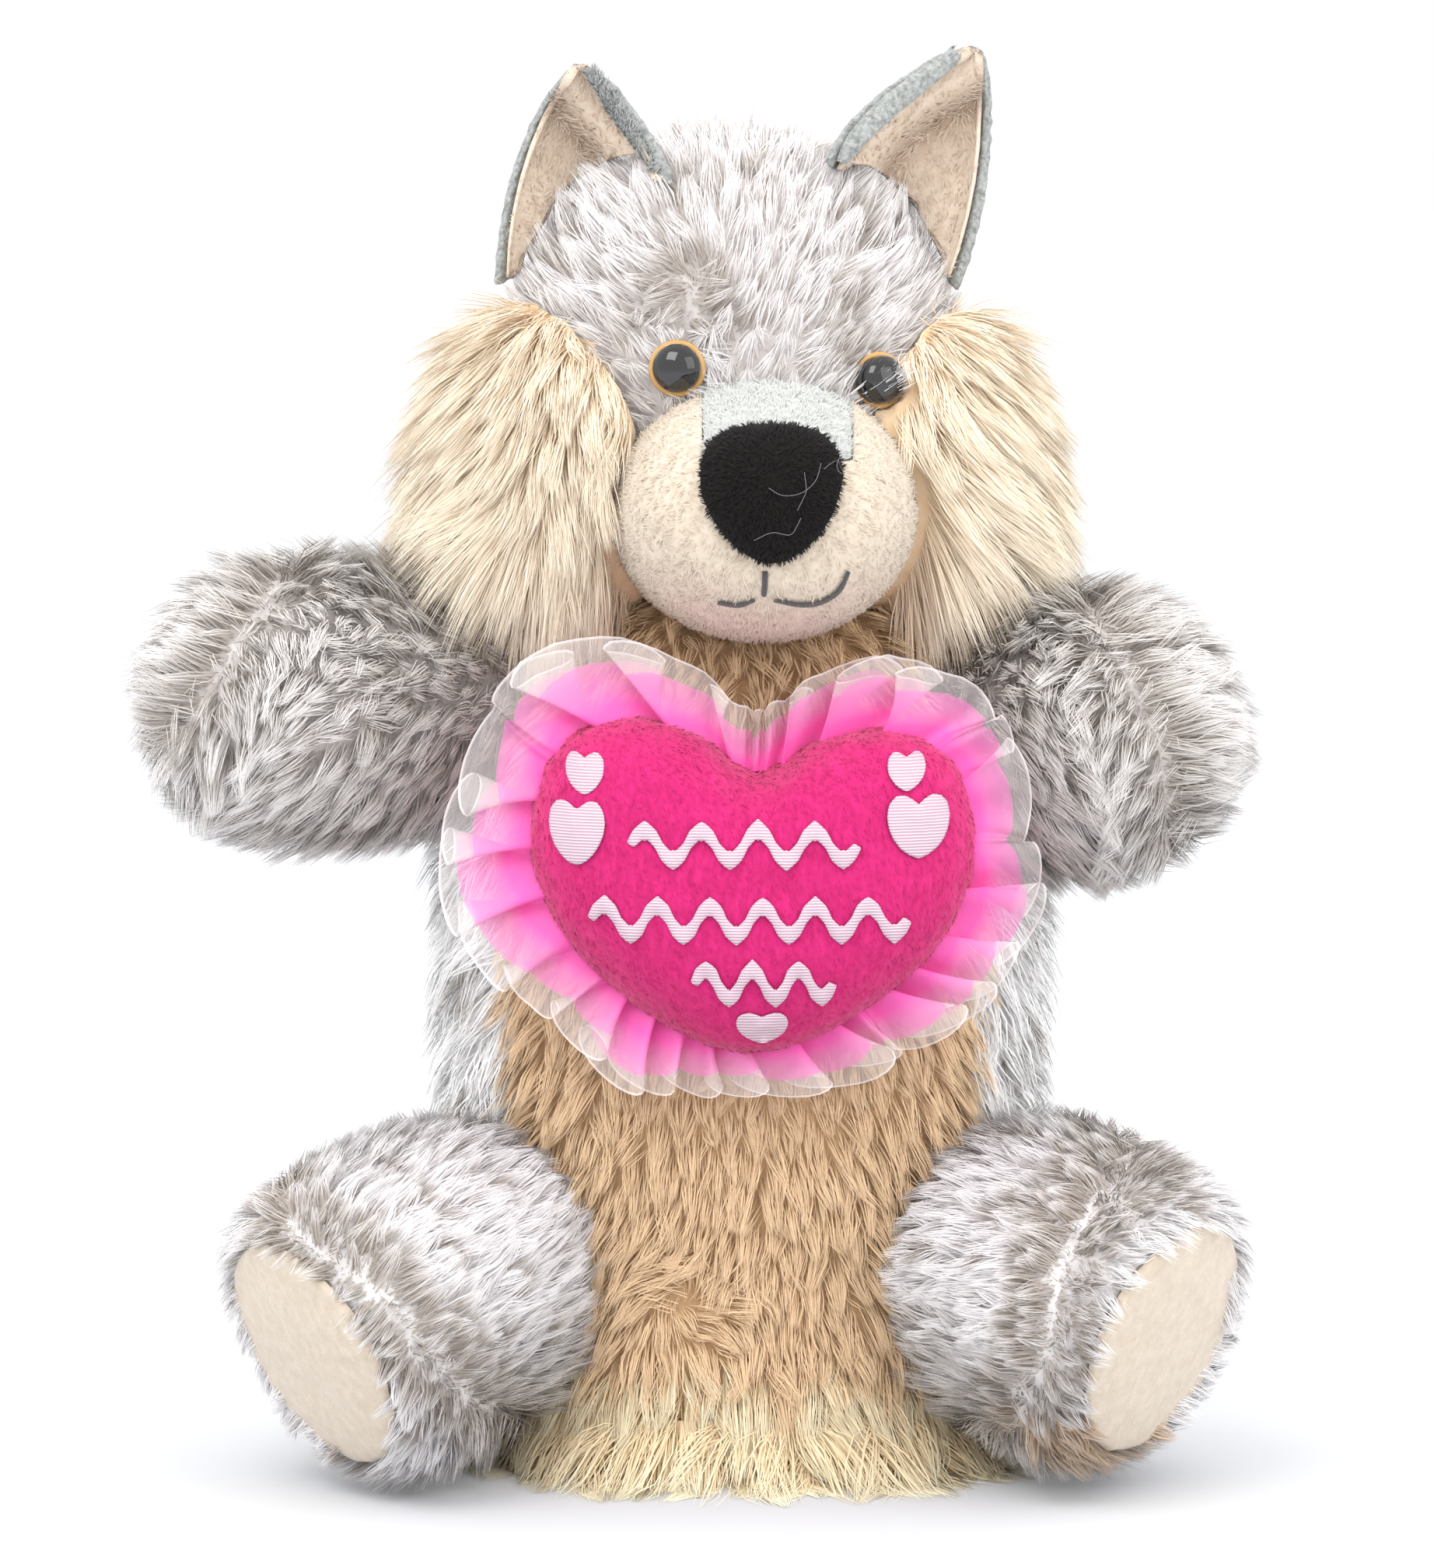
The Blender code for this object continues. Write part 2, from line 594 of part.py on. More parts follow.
def eyes(head_cover, stuffing, muzzle_pieces):
    tree = surface_of(head_cover)
    back = -PLUSH_WALL - WASHER_SEAT
    pocket_depth = back - WASHER_THICKNESS - 2 * GAP
    cutters = []
    for side, centre in EYE_CENTRES.items():
        seat, normal = front_of(tree, *centre)
        place = {"location": seat, "rotation": facing(normal)}
        iris = [(SHANK_RADIUS, -SHANK_LENGTH), (SHANK_RADIUS, GAP), (IRIS_RADIUS - GAP, GAP),
                (IRIS_RADIUS, GAP + 0.5 * IRIS_THICKNESS), (PUPIL_RADIUS, GAP + IRIS_THICKNESS)]
        solid(f"{side}_eye_iris", turned(iris, 18), "amber_plastic", **place)
        lens = [(PUPIL_RADIUS * math.cos(a),
                 2 * GAP + IRIS_THICKNESS + PUPIL_HEIGHT * math.sin(a))
                for a in np.radians((0, 20, 42, 62, 80))]
        solid(f"{side}_eye_pupil", turned(lens, 18), "black_plastic", **place)
        rim = turned([(WASHER_RADIUS, back - WASHER_THICKNESS), (WASHER_RADIUS, back)], 12)
        bore = turned([(SHANK_RADIUS + GAP, back - WASHER_THICKNESS),
                       (SHANK_RADIUS + GAP, back)], 12)
        shell(f"{side}_eye_washer", rim, bore, "white_plastic", **place)
        hole = turned([(SHANK_RADIUS + GAP, -CUT_REACH / 4), (SHANK_RADIUS + GAP, GAP)], 12)
        room = turned([(WASHER_RADIUS + GAP, pocket_depth - 4 * GAP),
                       (WASHER_RADIUS + 2 * GAP, CUT_REACH / 4)], 14)
        front = turned([(IRIS_RADIUS + GAP, -GAP), (IRIS_RADIUS + GAP, CUT_REACH / 4)], 24)
        hole = as_cutter(solid(f"{side}_shank_cutter", hole, "fibrefill", **place))
        room = as_cutter(solid(f"{side}_washer_cutter", room, "fibrefill", **place))
        front = as_cutter(solid(f"{side}_eye_cutter", front, "fibrefill", **place))
        boolean(head_cover, hole)
        boolean(stuffing, room)
        boolean(stuffing, hole)
        for piece in muzzle_pieces:
            boolean(piece, front)
        cutters.append(front)
    return cutters


def ear_grid(height, half_widths, wraps, curl, tilt, depth):
    """A cupped, pointed leaf whose halves wrap forwards, as the layer at this depth from its back.

    Its base lies along the head's slope, and its tip curls forward.
    """
    grid = []
    for v in np.linspace(0, 1, 8):
        row = []
        for u in np.linspace(-1, 1, 11):
            half = int(u > 0)
            width = half_widths[half] * (1 - v ** 1.8) ** 0.8 + 1.5 * MM
            wrap = min(wraps[half], width / EAR_LEAST_BEND)
            bend = width / wrap
            x = (bend - depth) * math.sin(wrap * u)
            y = -bend + (bend - depth) * math.cos(wrap * u)
            row.append((x, y - curl * v ** 3, height * v - (1 - v) * math.tan(tilt) * x))
        grid.append(row)
    return np.array(grid)


def ears(head_cutter):
    for side, (base, tip, half_widths, wraps) in EARS.items():
        rise = Vector(tip) - Vector(base)
        lean = Matrix.Rotation(math.atan2(rise.x, rise.z), 3, "Y").to_quaternion()
        height = math.hypot(rise.x, rise.z)
        layers = (("back", 0, FELT_WALL, "grey_fleece"),
                  ("lining", FELT_WALL + 2 * GAP, FELT_WALL + 2 * GAP + MINKY_WALL,
                   "cream_minky"))
        for layer, near, far, finish_name in layers:
            grids = [ear_grid(height, half_widths, wraps, EAR_CURL[side], EAR_BASE_TILT[side],
                              depth) for depth in (near, far)]
            ear = shell(f"{side}_ear_{layer}", grids[1], grids[0], finish_name, around=False,
                        location=base, rotation=lean)
            boolean(ear, head_cutter)


def heart_rings(outline, depth, sign, steps, wall=0.0):
    """Rings from the seam to the middle of one side of the cushion, in local X and Y."""
    rings = []
    for angle in np.radians(np.linspace(0, 82, steps)):
        scale = math.cos(angle) ** 0.75
        height = sign * (depth - wall) * math.sin(angle) ** 0.9
        reach = 1 - wall / HEART_HALF_OUTLINE[4][0] * 1.6
        flat = outline * scale * (reach if wall else 1)
        rings.append(np.stack([flat[:, 0], flat[:, 1], np.full(len(flat), height)], 1))
    return np.array(rings)


def heart():
    """The cushion, in a frame whose local Z faces the viewer."""
    turn = facing((0, -1, 0)) @ Matrix.Rotation(-HEART_TILT, 3, "Z").to_quaternion()
    place = {"location": HEART_CENTRE, "rotation": turn}
    outline = mirrored(HEART_HALF_OUTLINE, 34)
    half_seam = 0.5 * RUFFLE_THICKNESS + GAP
    lift = np.array((0, 0, half_seam))
    panels = {}
    for name, depth, sign, steps in (("heart_front", HEART_FRONT_DEPTH, 1, 7),
                                     ("heart_back", HEART_BACK_DEPTH, -1, 4)):
        outer = heart_rings(outline, depth, sign, steps) + sign * lift
        inner = heart_rings(outline, depth, sign, steps, MINKY_WALL) + sign * lift
        panels[name] = shell(name, outer, inner, "pink_minky", capped=True, **place)
    cutter = heart_rings(outline, HEART_FRONT_DEPTH, 1, 7) + lift
    cutter = as_cutter(solid("heart_cutter", inset_grid(cutter, -GAP), "fibrefill", **place))
    wall = MINKY_WALL + GAP
    front = heart_rings(outline, HEART_FRONT_DEPTH, 1, 6, wall) + lift
    back = heart_rings(outline, HEART_BACK_DEPTH, -1, 3, wall) - lift
    inner_reach = np.array((0.94, 0.94, 1))
    solid("heart_stuffing", np.concatenate([back[::-1], front]) * inner_reach, "fibrefill",
          **place)
    return place, panels["heart_front"], cutter


def ruffle(place):
    """The gathered strip: tucked into the seam, then waved more and more towards its edge."""
    count = PLEATS * 5
    inner = mirrored(HEART_HALF_OUTLINE, count)
    outer = mirrored(RUFFLE_HALF_OUTLINE, count)
    wave = np.sin(np.arange(count) / count * PLEATS * 2 * math.pi)
    tuck = 1 - RUFFLE_TUCK / HEART_HALF_OUTLINE[4][0]
    rows = [np.stack([inner[:, 0] * tuck, inner[:, 1] * tuck, np.zeros(count)], 1)]
    for share in (0.03, 0.5, 1):
        flat = inner + share * (outer - inner)
        height = share * (PLEAT_HEIGHT * wave + PLEAT_LEAN)
        rows.append(np.stack([flat[:, 0], flat[:, 1], height], 1))
    grid = np.array(rows)
    half = np.array((0, 0, RUFFLE_THICKNESS / 2))
    shell("heart_ruffle", grid + half, grid - half, "pink_organza", **place)


def embroidery(front_panel, cutter):
    tree = surface_of(front_panel)
    unit = mirrored(HEART_HALF_OUTLINE, 20)
    unit /= np.ptp(unit, axis=0)
    for name, (centre, size) in SMALL_HEARTS.items():
        laid_pad(name, tree, [cutter], unit * size + centre, PATCH_THICKNESS, "thread", rings=2)
    for name, (centre, length, waves) in GARLANDS.items():
        steps = np.linspace(0, 1, 8 * waves + 1)
        phase = 2 * math.pi * waves * steps
        path = np.stack([centre[0] + length * (steps - 0.5),
                         centre[1] + GARLAND_WAVE * np.sin(phase)], 1)
        widths = GARLAND_STEM + (GARLAND_LEAF - GARLAND_STEM) * np.abs(np.sin(phase)) ** 3
        laid_ribbon(name, tree, [cutter], path, widths, PATCH_THICKNESS, "thread")


def stand_at_origin():
    """Puts the middle of the standing object's box over the origin, with its hem at z = 0."""
    bpy.context.view_layer.update()
    graph = bpy.context.evaluated_depsgraph_get()
    pieces = [obj for obj in bpy.data.objects if not obj.hide_render]
    points = []
    for obj in pieces:
        shaped = obj.evaluated_get(graph)
        points += [shaped.matrix_world @ vertex.co for vertex in shaped.data.vertices]
    points = np.array(points)
    middle = (points.min(0) + points.max(0)) / 2
    stand = bpy.data.objects.new("puppet_stand_point", None)
    bpy.context.scene.collection.objects.link(stand)
    for obj in list(bpy.data.objects):
        if obj != stand:
            obj.parent = stand
    stand.location = (-middle[0], -middle[1], 0)


def main():
    clear_scene()
    panels, body_cutter, cavity_cutter = glove()
    arm_cutters = arms(panels, cavity_cutter)
    legs(body_cutter)
    head_cover, head_stuffing, head_cutter = head(body_cutter)
    muzzle_cover, bridge, muzzle_stuffing, muzzle_cutter = muzzle(head_cutter, body_cutter)
    nose_and_mouth(muzzle_cover, [muzzle_cutter])
    eye_cutters = eyes(head_cover, head_stuffing, (muzzle_cover, bridge, muzzle_stuffing))
    cheeks([head_cutter, body_cutter, muzzle_cutter, *arm_cutters, *eye_cutters])
    ears(head_cutter)
    place, front_panel, heart_cutter = heart()
    ruffle(place)
    embroidery(front_panel, heart_cutter)
    stand_at_origin()


main()
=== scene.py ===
import json
import math

import bmesh
import bpy
import numpy as np
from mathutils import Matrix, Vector
from mathutils.bvhtree import BVHTree
from mathutils.kdtree import KDTree

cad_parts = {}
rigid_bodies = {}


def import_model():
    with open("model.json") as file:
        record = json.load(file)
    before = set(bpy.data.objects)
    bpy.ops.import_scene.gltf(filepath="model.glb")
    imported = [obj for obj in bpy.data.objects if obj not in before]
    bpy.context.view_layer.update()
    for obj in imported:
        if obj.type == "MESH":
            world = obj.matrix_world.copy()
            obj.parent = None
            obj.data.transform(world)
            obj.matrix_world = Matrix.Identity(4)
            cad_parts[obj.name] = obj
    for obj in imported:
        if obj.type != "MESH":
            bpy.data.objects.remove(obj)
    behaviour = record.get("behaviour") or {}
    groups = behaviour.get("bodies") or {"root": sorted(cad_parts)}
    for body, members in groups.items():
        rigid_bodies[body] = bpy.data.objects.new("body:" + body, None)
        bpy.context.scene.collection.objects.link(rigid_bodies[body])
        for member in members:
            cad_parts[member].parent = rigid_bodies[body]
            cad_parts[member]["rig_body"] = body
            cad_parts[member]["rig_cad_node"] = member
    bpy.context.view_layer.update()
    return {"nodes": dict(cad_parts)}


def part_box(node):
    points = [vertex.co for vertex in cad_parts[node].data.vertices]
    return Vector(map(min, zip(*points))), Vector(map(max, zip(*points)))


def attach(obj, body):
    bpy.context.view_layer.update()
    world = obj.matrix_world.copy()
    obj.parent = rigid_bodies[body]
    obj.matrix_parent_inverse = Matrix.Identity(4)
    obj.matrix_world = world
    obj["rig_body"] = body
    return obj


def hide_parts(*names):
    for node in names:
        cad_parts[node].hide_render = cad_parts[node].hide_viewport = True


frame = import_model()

MM = 0.001

# The camera, from the photograph: its scale in the plane through the legs and muzzle
PHOTO_SIZE = (1844, 2016)
PHOTO_PER_MM = 6.2
PHOTO_PLANE_Y = -12.5 * MM
PHOTO_CENTRE = (5.2 * MM, 144 * MM)
CAMERA_REACH = 1.6
CAMERA_RISE = math.radians(5.5)

# Directions, shades of a pile, and how its ribbons lie
UP = np.array((0.0, 0.0, 1.0))
FRONT = np.array((0.0, -1.0, 0.0))
SIDES = ("left", "right")
SHADES = 48
SHADE_COLUMNS = 16
FLOOR_CLEAR = 0.4 * MM
RIBBON_LEAN = 0.5
GROUND_SHARE = 0.6


def middle(*nodes):
    """The middle of the box round these CAD nodes."""
    corners = [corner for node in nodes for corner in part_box(node)]
    return (np.min(corners, 0) + np.max(corners, 0)) / 2


def extent(node):
    low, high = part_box(node)
    return np.array(high) - np.array(low)


def unit(vectors):
    return vectors / np.maximum(np.linalg.norm(vectors, axis=-1, keepdims=True), 1e-9)


def tangent(vectors, normals):
    """The part of each vector that lies along the surface."""
    vectors = np.broadcast_to(vectors, normals.shape)
    return unit(vectors - normals * (vectors * normals).sum(1, keepdims=True))


def lengths(vectors):
    return np.linalg.norm(vectors, axis=-1)


def points_of(obj, kind="co"):
    """The places of an object's vertices, or their normals."""
    values = np.empty(len(obj.data.vertices) * 3)
    obj.data.vertices.foreach_get(kind, values)
    return values.reshape(-1, 3)


def waves(points, size, seed, octaves=3):
    """Smooth noise from -1 to 1 at these points, made of a few turned sine waves."""
    rng = np.random.default_rng(seed)
    total = np.zeros(len(points))
    for octave in range(octaves):
        axes = unit(rng.normal(size=(4, 3))) * 2 * math.pi / size * 1.9 ** octave
        total += np.sin(points @ axes.T + rng.uniform(0, 6.3, 4)).sum(1) / 4 / 1.6 ** octave
    return np.clip(total, -1, 1)


# Materials

def add(tree, kind, sources=(), values=(), **settings):
    """A new shader node with these settings, socket values and sources for its sockets."""
    made = tree.nodes.new("ShaderNode" + kind)
    for key, value in settings.items():
        setattr(made, key, value)
    for key, value in dict(values).items():
        made.inputs[key].default_value = value
    for key, source in dict(sources).items():
        tree.links.new(source, made.inputs[key])
    return made


def ramp(tree, factor, *stops):
    """The colour from a ramp with these stops, each a place and a colour."""
    made = add(tree, "ValToRGB", {"Fac": factor})
    bands = made.color_ramp.elements
    for band, (place, colour) in zip(list(bands), (stops[0], stops[-1])):
        band.position, band.color = place, (*colour, 1)
    for place, colour in stops[1:-1]:
        bands.new(place).color = (*colour, 1)
    return made.outputs["Color"]


def node_material(name, roughness, sheen=0.0, specular=0.3, coat=0.0):
    """A new material, its nodes and the sockets of its shader."""
    material = bpy.data.materials.new(name)
    material.use_nodes = True
    sockets = material.node_tree.nodes["Principled BSDF"].inputs
    for key, value in (("Roughness", roughness), ("Specular IOR Level", specular),
                       ("Sheen Weight", sheen), ("Sheen Roughness", 0.5),
                       ("Coat Weight", coat), ("Coat Roughness", 0.05)):
        sockets[key].default_value = value
    return material, material.node_tree, sockets


def plain_material(name, colour, *finish):
    material, _, sockets = node_material(name, *finish)
    sockets["Base Color"].default_value = (*colour, 1)
    return material


def pile_material():
    """Fibres: their colour is stored on the mesh, root to tip."""
    material, tree, sockets = node_material("plush_pile", 0.75, 0.25, 0.15)
    colour = add(tree, "VertexColor", layer_name="Pile").outputs["Color"]
    tree.links.new(colour, sockets["Base Color"])
    return material


def bump_on(tree, sockets, source, strength, reach):
    height = add(tree, "Bump", {"Height": source}, {"Strength": strength, "Distance": reach})
    tree.links.new(height.outputs["Normal"], sockets["Normal"])


def cloth_material(name, colours, scale, bump, roughness=0.85, sheen=0.4, stretch=(1, 1, 1),
                   reach=0.3, contrast=0.5, turn=0.0, shade=None):
    """Woven or short-pile cloth: two or three colours mottled at one scale, and a nap bump.

    reach is the bump's depth in millimetres, and shade names a colour layer of painted shade on
    the mesh, which darkens the colour.
    """
    material, tree, sockets = node_material(name, roughness, sheen, 0.2)
    place = add(tree, "TexCoord").outputs["Object"]
    turned = (0, math.radians(turn), 0)
    weave = add(tree, "Mapping", {"Vector": place}, {"Scale": stretch, "Rotation": turned})
    weave = weave.outputs["Vector"]
    mottle = add(tree, "TexNoise", {"Vector": weave}, {"Scale": scale, "Detail": 4})
    steps = np.linspace(0.5 - contrast / 2, 0.5 + contrast / 2, len(colours))
    colour = ramp(tree, mottle.outputs["Fac"], *zip(steps, colours))
    # Painted shade: the mottled colour is multiplied by the mesh's shade layer.
    if shade:
        layer = add(tree, "VertexColor", layer_name=shade).outputs["Color"]
        colour = add(tree, "Mix", {"A": colour, "B": layer}, {"Factor": 1}, data_type="RGBA",
                     blend_type="MULTIPLY").outputs["Result"]
    tree.links.new(colour, sockets["Base Color"])
    nap = add(tree, "TexNoise", {"Vector": weave}, {"Scale": scale * 3, "Detail": 3})
    bump_on(tree, sockets, nap.outputs["Fac"], bump, reach * MM)
    return material


def satin_material(name, colour, groove_shade, pitch):
    """Satin stitch: fine parallel threads across the motif."""
    material, tree, sockets = node_material(name, 0.38, 0.1, 0.5)
    place = add(tree, "TexCoord").outputs["Object"]
    threads = add(tree, "TexWave", {"Vector": place}, {"Scale": 0.314 / pitch, "Distortion": 0.6,
                                                       "Detail": 1}, bands_direction="Z")
    threads = threads.outputs["Fac"]
    # Painted shade: the colour darkens to the groove colour between the threads.
    tree.links.new(ramp(tree, threads, (0, groove_shade), (1, colour)), sockets["Base Color"])
    bump_on(tree, sockets, threads, 0.7, 0.2 * MM)
    return material


PLUSH = pile_material()


# Pieces

def show(obj, slot, *nodes):
    """Puts a finished piece on the puppet in place of these CAD nodes."""
    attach(obj, "root")
    if nodes:
        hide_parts(*nodes)
    return obj


def net(rows, columns, ring=False):
    """The faces of a grid of points given row by row, closed into a ring or left open."""
    ahead = [(c, (c + 1) % columns) for c in range(columns if ring else columns - 1)]
    return [(r + c, r + d, r + columns + d, r + columns + c)
            for r in range(0, (rows - 1) * columns, columns) for c, d in ahead]


def paint(mesh, name, colours):
    layer = mesh.color_attributes.new(name, "FLOAT_COLOR", "POINT")
    layer.data.foreach_set("color", colours.ravel())


def new_mesh(name, points, faces, material, smooth=True):
    mesh = bpy.data.meshes.new(name)
    mesh.from_pydata([tuple(p) for p in points], [], [tuple(f) for f in faces])
    mesh.materials.append(material)
    mesh.polygons.foreach_set("use_smooth", [smooth] * len(mesh.polygons))
    obj = bpy.data.objects.new(name, mesh)
    bpy.context.scene.collection.objects.link(obj)
    return obj


def dressed(node, name, material, levels=0, shift=None):
    """A finer copy of a CAD node, subdivided and then moved by shift(points, normals)."""
    copy = frame["nodes"][node].copy()
    copy.data = copy.data.copy()
    copy.name = name
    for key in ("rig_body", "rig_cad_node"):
        if key in copy:
            del copy[key]
    copy.parent = None
    bpy.context.scene.collection.objects.link(copy)
    copy.data.materials.clear()
    copy.data.materials.append(material)
    welded = bmesh.new()
    welded.from_mesh(copy.data)
    bmesh.ops.remove_doubles(welded, verts=welded.verts, dist=0.01 * MM)
    if levels:
        bmesh.ops.subdivide_edges(welded, edges=welded.edges, cuts=2 ** levels - 1,
                                  use_grid_fill=True)
        bmesh.ops.smooth_vert(welded, verts=welded.verts, factor=0.5, use_axis_x=True,
                              use_axis_y=True, use_axis_z=True)
    bmesh.ops.recalc_face_normals(welded, faces=welded.faces)
    welded.to_mesh(copy.data)
    welded.free()
    copy.data.polygons.foreach_set("use_smooth", [True] * len(copy.data.polygons))
    if shift is not None:
        points = points_of(copy)
        moved = points + shift(points, points_of(copy, "normal"))
        copy.data.vertices.foreach_set("co", moved.ravel())
        copy.data.update()
    return copy


def sunk(outward, depth, whole=True):
    """A shift that draws a shell in, so that its pile ends at the outline of the CAD piece.

    A stuffing is drawn in on its outside only, with whole set to False.
    """
    def shift(points, normals):
        way = outward(points)
        reach = depth(points) if callable(depth) else np.full(len(points), depth)
        if not whole:
            reach = reach * ((normals * way).sum(1) > 0.1)
        return -way * (reach * MM)[:, None]

    return shift


def tree_of(*nodes):
    """One search tree over these CAD nodes' or objects' meshes."""
    points, faces = [], []
    for node in nodes:
        mesh = (frame["nodes"][node] if isinstance(node, str) else node).data
        start = len(points)
        points += [vertex.co.copy() for vertex in mesh.vertices]
        faces += [[start + i for i in polygon.vertices] for polygon in mesh.polygons]
    return BVHTree.FromPolygons(points, faces)


def roots_on(obj, count, outward, rng, away_from, clearance, within):
    """Random points on the outer surface, with their smooth normals, away from other nodes."""
    mesh = obj.data
    mesh.calc_loop_triangles()
    points, normals = points_of(obj), points_of(obj, "normal")
    faces = np.empty(len(mesh.loop_triangles) * 3, int)
    mesh.loop_triangles.foreach_get("vertices", faces)
    faces = faces.reshape(-1, 3)
    corners = points[faces]
    cross = np.cross(corners[:, 1] - corners[:, 0], corners[:, 2] - corners[:, 0])
    centres = corners.mean(1)
    outer = (unit(cross) * outward(centres)).sum(1) > 0.2
    if within is not None:
        outer &= within(centres)
    areas = lengths(cross) * outer
    picked = rng.choice(len(faces), count, p=areas / areas.sum())
    share = rng.random((count, 2))
    share[share.sum(1) > 1] = 1 - share[share.sum(1) > 1]
    weights = np.column_stack([1 - share.sum(1), share])[:, :, None]
    seats = (corners[picked] * weights).sum(1)
    facing = unit((normals[faces[picked]] * weights).sum(1) * 0.5 + unit(cross[picked]) * 0.5)
    if away_from is not None:
        far = [away_from.find_nearest(Vector(p), clearance)[0] is None for p in seats]
        seats, facing = seats[far], facing[far]
    return seats, facing


def shade_table(root, tip, rng, spread, dark=None, dark_share=0.0):
    """Root and tip colours of each shade of the pile."""
    level = 1 + spread * rng.uniform(-1, 1, (SHADES, 1))
    roots, tips = np.array(root) * level, np.array(tip) * level
    if dark is not None:
        some = np.arange(SHADES) < SHADES * dark_share
        roots[some] = np.array(dark) * level[some]
        tips[some] = (np.array(dark) * 0.6 + np.array(tip) * 0.4) * level[some]
    return np.clip(roots, 0, 1), np.clip(tips, 0, 1)


def grow(name, base, slot, count, colours, comb, *, length, lift=(55, 10), width=0.3,
         lock=20, clump=0.75, rings=2, droop=0.0, stray=0.25, swirl=20, spread=0.12, seed=1,
         outward=None, away_from=None, clearance=1.5, within=None, region=None, bend=None,
         tip_start=0.15, length_spread=0.25, dark=None, dark_share=0.0):
    """Pile fibres on a piece, drawn together in locks.

    length, width and clearance are in millimetres, lift is the fibre's angle to the cloth at its
    root and tip in degrees, comb gives the direction that it is brushed in, and region picks one
    of the colour pairs for each root.
    """
    rng = np.random.default_rng(seed)
    seats, normals = roots_on(base, count, outward, rng, away_from, clearance * MM, within)
    total = len(seats)
    leaders = rng.choice(total, max(1, total // lock), replace=False)
    search = KDTree(len(leaders))
    for i, leader in enumerate(leaders):
        search.insert(seats[leader], i)
    search.balance()
    member = np.array([search.find(p)[1] for p in seats])
    turn = np.radians(rng.normal(0, swirl, len(leaders)))
    scale = 1 + length_spread * rng.uniform(-1, 1, len(leaders))
    tone = rng.uniform(0, 1, len(leaders))

    def paths(index, group, noise):
        """Ring centres of the fibres at these roots, brushed as their locks are."""
        place, normal = seats[index], normals[index]
        along = tangent(comb(place, normal), normal)
        across = np.cross(normal, along)
        angle = (turn[group] + noise[0])[:, None]
        along = along * np.cos(angle) + across * np.sin(angle)
        reach = np.broadcast_to(length(place) if callable(length) else length, len(index))
        step = (reach * MM * scale[group] * noise[1] / rings)[:, None]
        line = [place]
        for s in (np.arange(rings) + 0.5) / rings:
            rise = np.radians(lift[0] + (lift[1] - lift[0]) * s) + noise[2]
            rise = rise[:, None]
            course = along * np.cos(rise) + normal * np.sin(rise) - UP * droop * s
            if bend is not None:
                course = course + bend(place, s)
            line.append(line[-1] + unit(course) * step)
        return np.array(line)

    still = (0.0, 1.0, np.zeros(len(leaders)))
    guide = paths(leaders, np.arange(len(leaders)), still)
    noise = (rng.normal(0, stray, total), 1 + 0.12 * rng.normal(0, 1, total).clip(-2, 2),
             rng.normal(0, stray * 0.5, total))
    line = paths(np.arange(total), member, noise)
    share = (np.arange(rings + 1) / rings)[:, None, None] ** 1.4
    hold = clump * (1 - 0.5 * rng.random(total) ** 3)[None, :, None]
    line = line + hold * share * (guide[:, member] - line)
    line[:, :, 2] = np.maximum(line[:, :, 2], FLOOR_CLEAR)

    course = np.gradient(line, axis=0)
    side = unit(np.cross(course, normals[None]))
    face = unit(np.cross(side, course))
    twist = rng.normal(0, RIBBON_LEAN, total)[None, :, None]
    side = side * np.cos(twist) + face * np.sin(twist)
    taper = (1 - (np.arange(rings) / rings) ** 1.6)[:, None, None] * 0.85 + 0.15
    half = 0.5 * width * MM * (0.7 + 0.6 * rng.random(total))[None, :, None] * taper
    left, right = line[:-1] + side[:-1] * half, line[:-1] - side[:-1] * half
    stack = np.concatenate([left, right, line[-1:]])
    points = stack.transpose(1, 0, 2).reshape(-1, 3)
    each = 2 * rings + 1
    quads = np.array([(i, i + 1, rings + i + 1, rings + i) for i in range(rings - 1)])
    tips = np.array([(rings - 1, 2 * rings, 2 * rings - 1)])
    offset = (np.arange(total) * each)[:, None, None]
    loops = np.concatenate([(offset + quads[None]).reshape(total, -1),
                            (offset + tips[None]).reshape(total, -1)], 1).ravel()
    sizes = np.tile([4] * (rings - 1) + [3], total)

    mesh = bpy.data.meshes.new(name)
    mesh.vertices.add(len(points))
    mesh.vertices.foreach_set("co", points.ravel())
    mesh.loops.add(len(loops))
    mesh.loops.foreach_set("vertex_index", loops)
    mesh.polygons.add(len(sizes))
    mesh.polygons.foreach_set("loop_start", np.concatenate([[0], np.cumsum(sizes)[:-1]]))
    mesh.update(calc_edges=True)

    pairs = [shade_table(pair[0], pair[1], rng, spread, dark, dark_share) for pair in colours]
    starts = np.repeat([pair[2] if len(pair) > 2 else tip_start for pair in colours], SHADES)
    roots_table, tips_table = (np.concatenate(part) for part in zip(*pairs))
    blend = 0.75 * tone[member] + 0.25 * rng.random(total)
    shade = (blend * SHADES).astype(int).clip(0, SHADES - 1)
    shade = rng.permutation(SHADES)[shade]
    if region is not None:
        shade = shade + SHADES * region(seats)
    rows = math.ceil(len(roots_table) / SHADE_COLUMNS)
    heights = np.concatenate([np.arange(rings), np.arange(rings), [rings]]) / rings
    start = starts[shade][:, None]
    mix = ((heights[None] - start) / (1 - start)).clip(0, 1)[:, :, None]
    tint = roots_table[shade][:, None] * (1 - mix) + tips_table[shade][:, None] * mix
    paint(mesh, "Pile", np.concatenate([tint, np.ones((total, each, 1))], 2))
    sideways = np.concatenate([np.zeros(rings), np.ones(rings), [0.5]]) * 0.6 + 0.2
    across = (shade % SHADE_COLUMNS)[:, None] + sideways[None]
    upward = (shade // SHADE_COLUMNS)[:, None] + 0.1 + 0.8 * heights[None]
    cells = np.stack([across / SHADE_COLUMNS, upward / rows], 2).reshape(-1, 2)
    layer = mesh.uv_layers.new(name="OFBake")
    layer.data.foreach_set("uv", cells[loops].ravel())

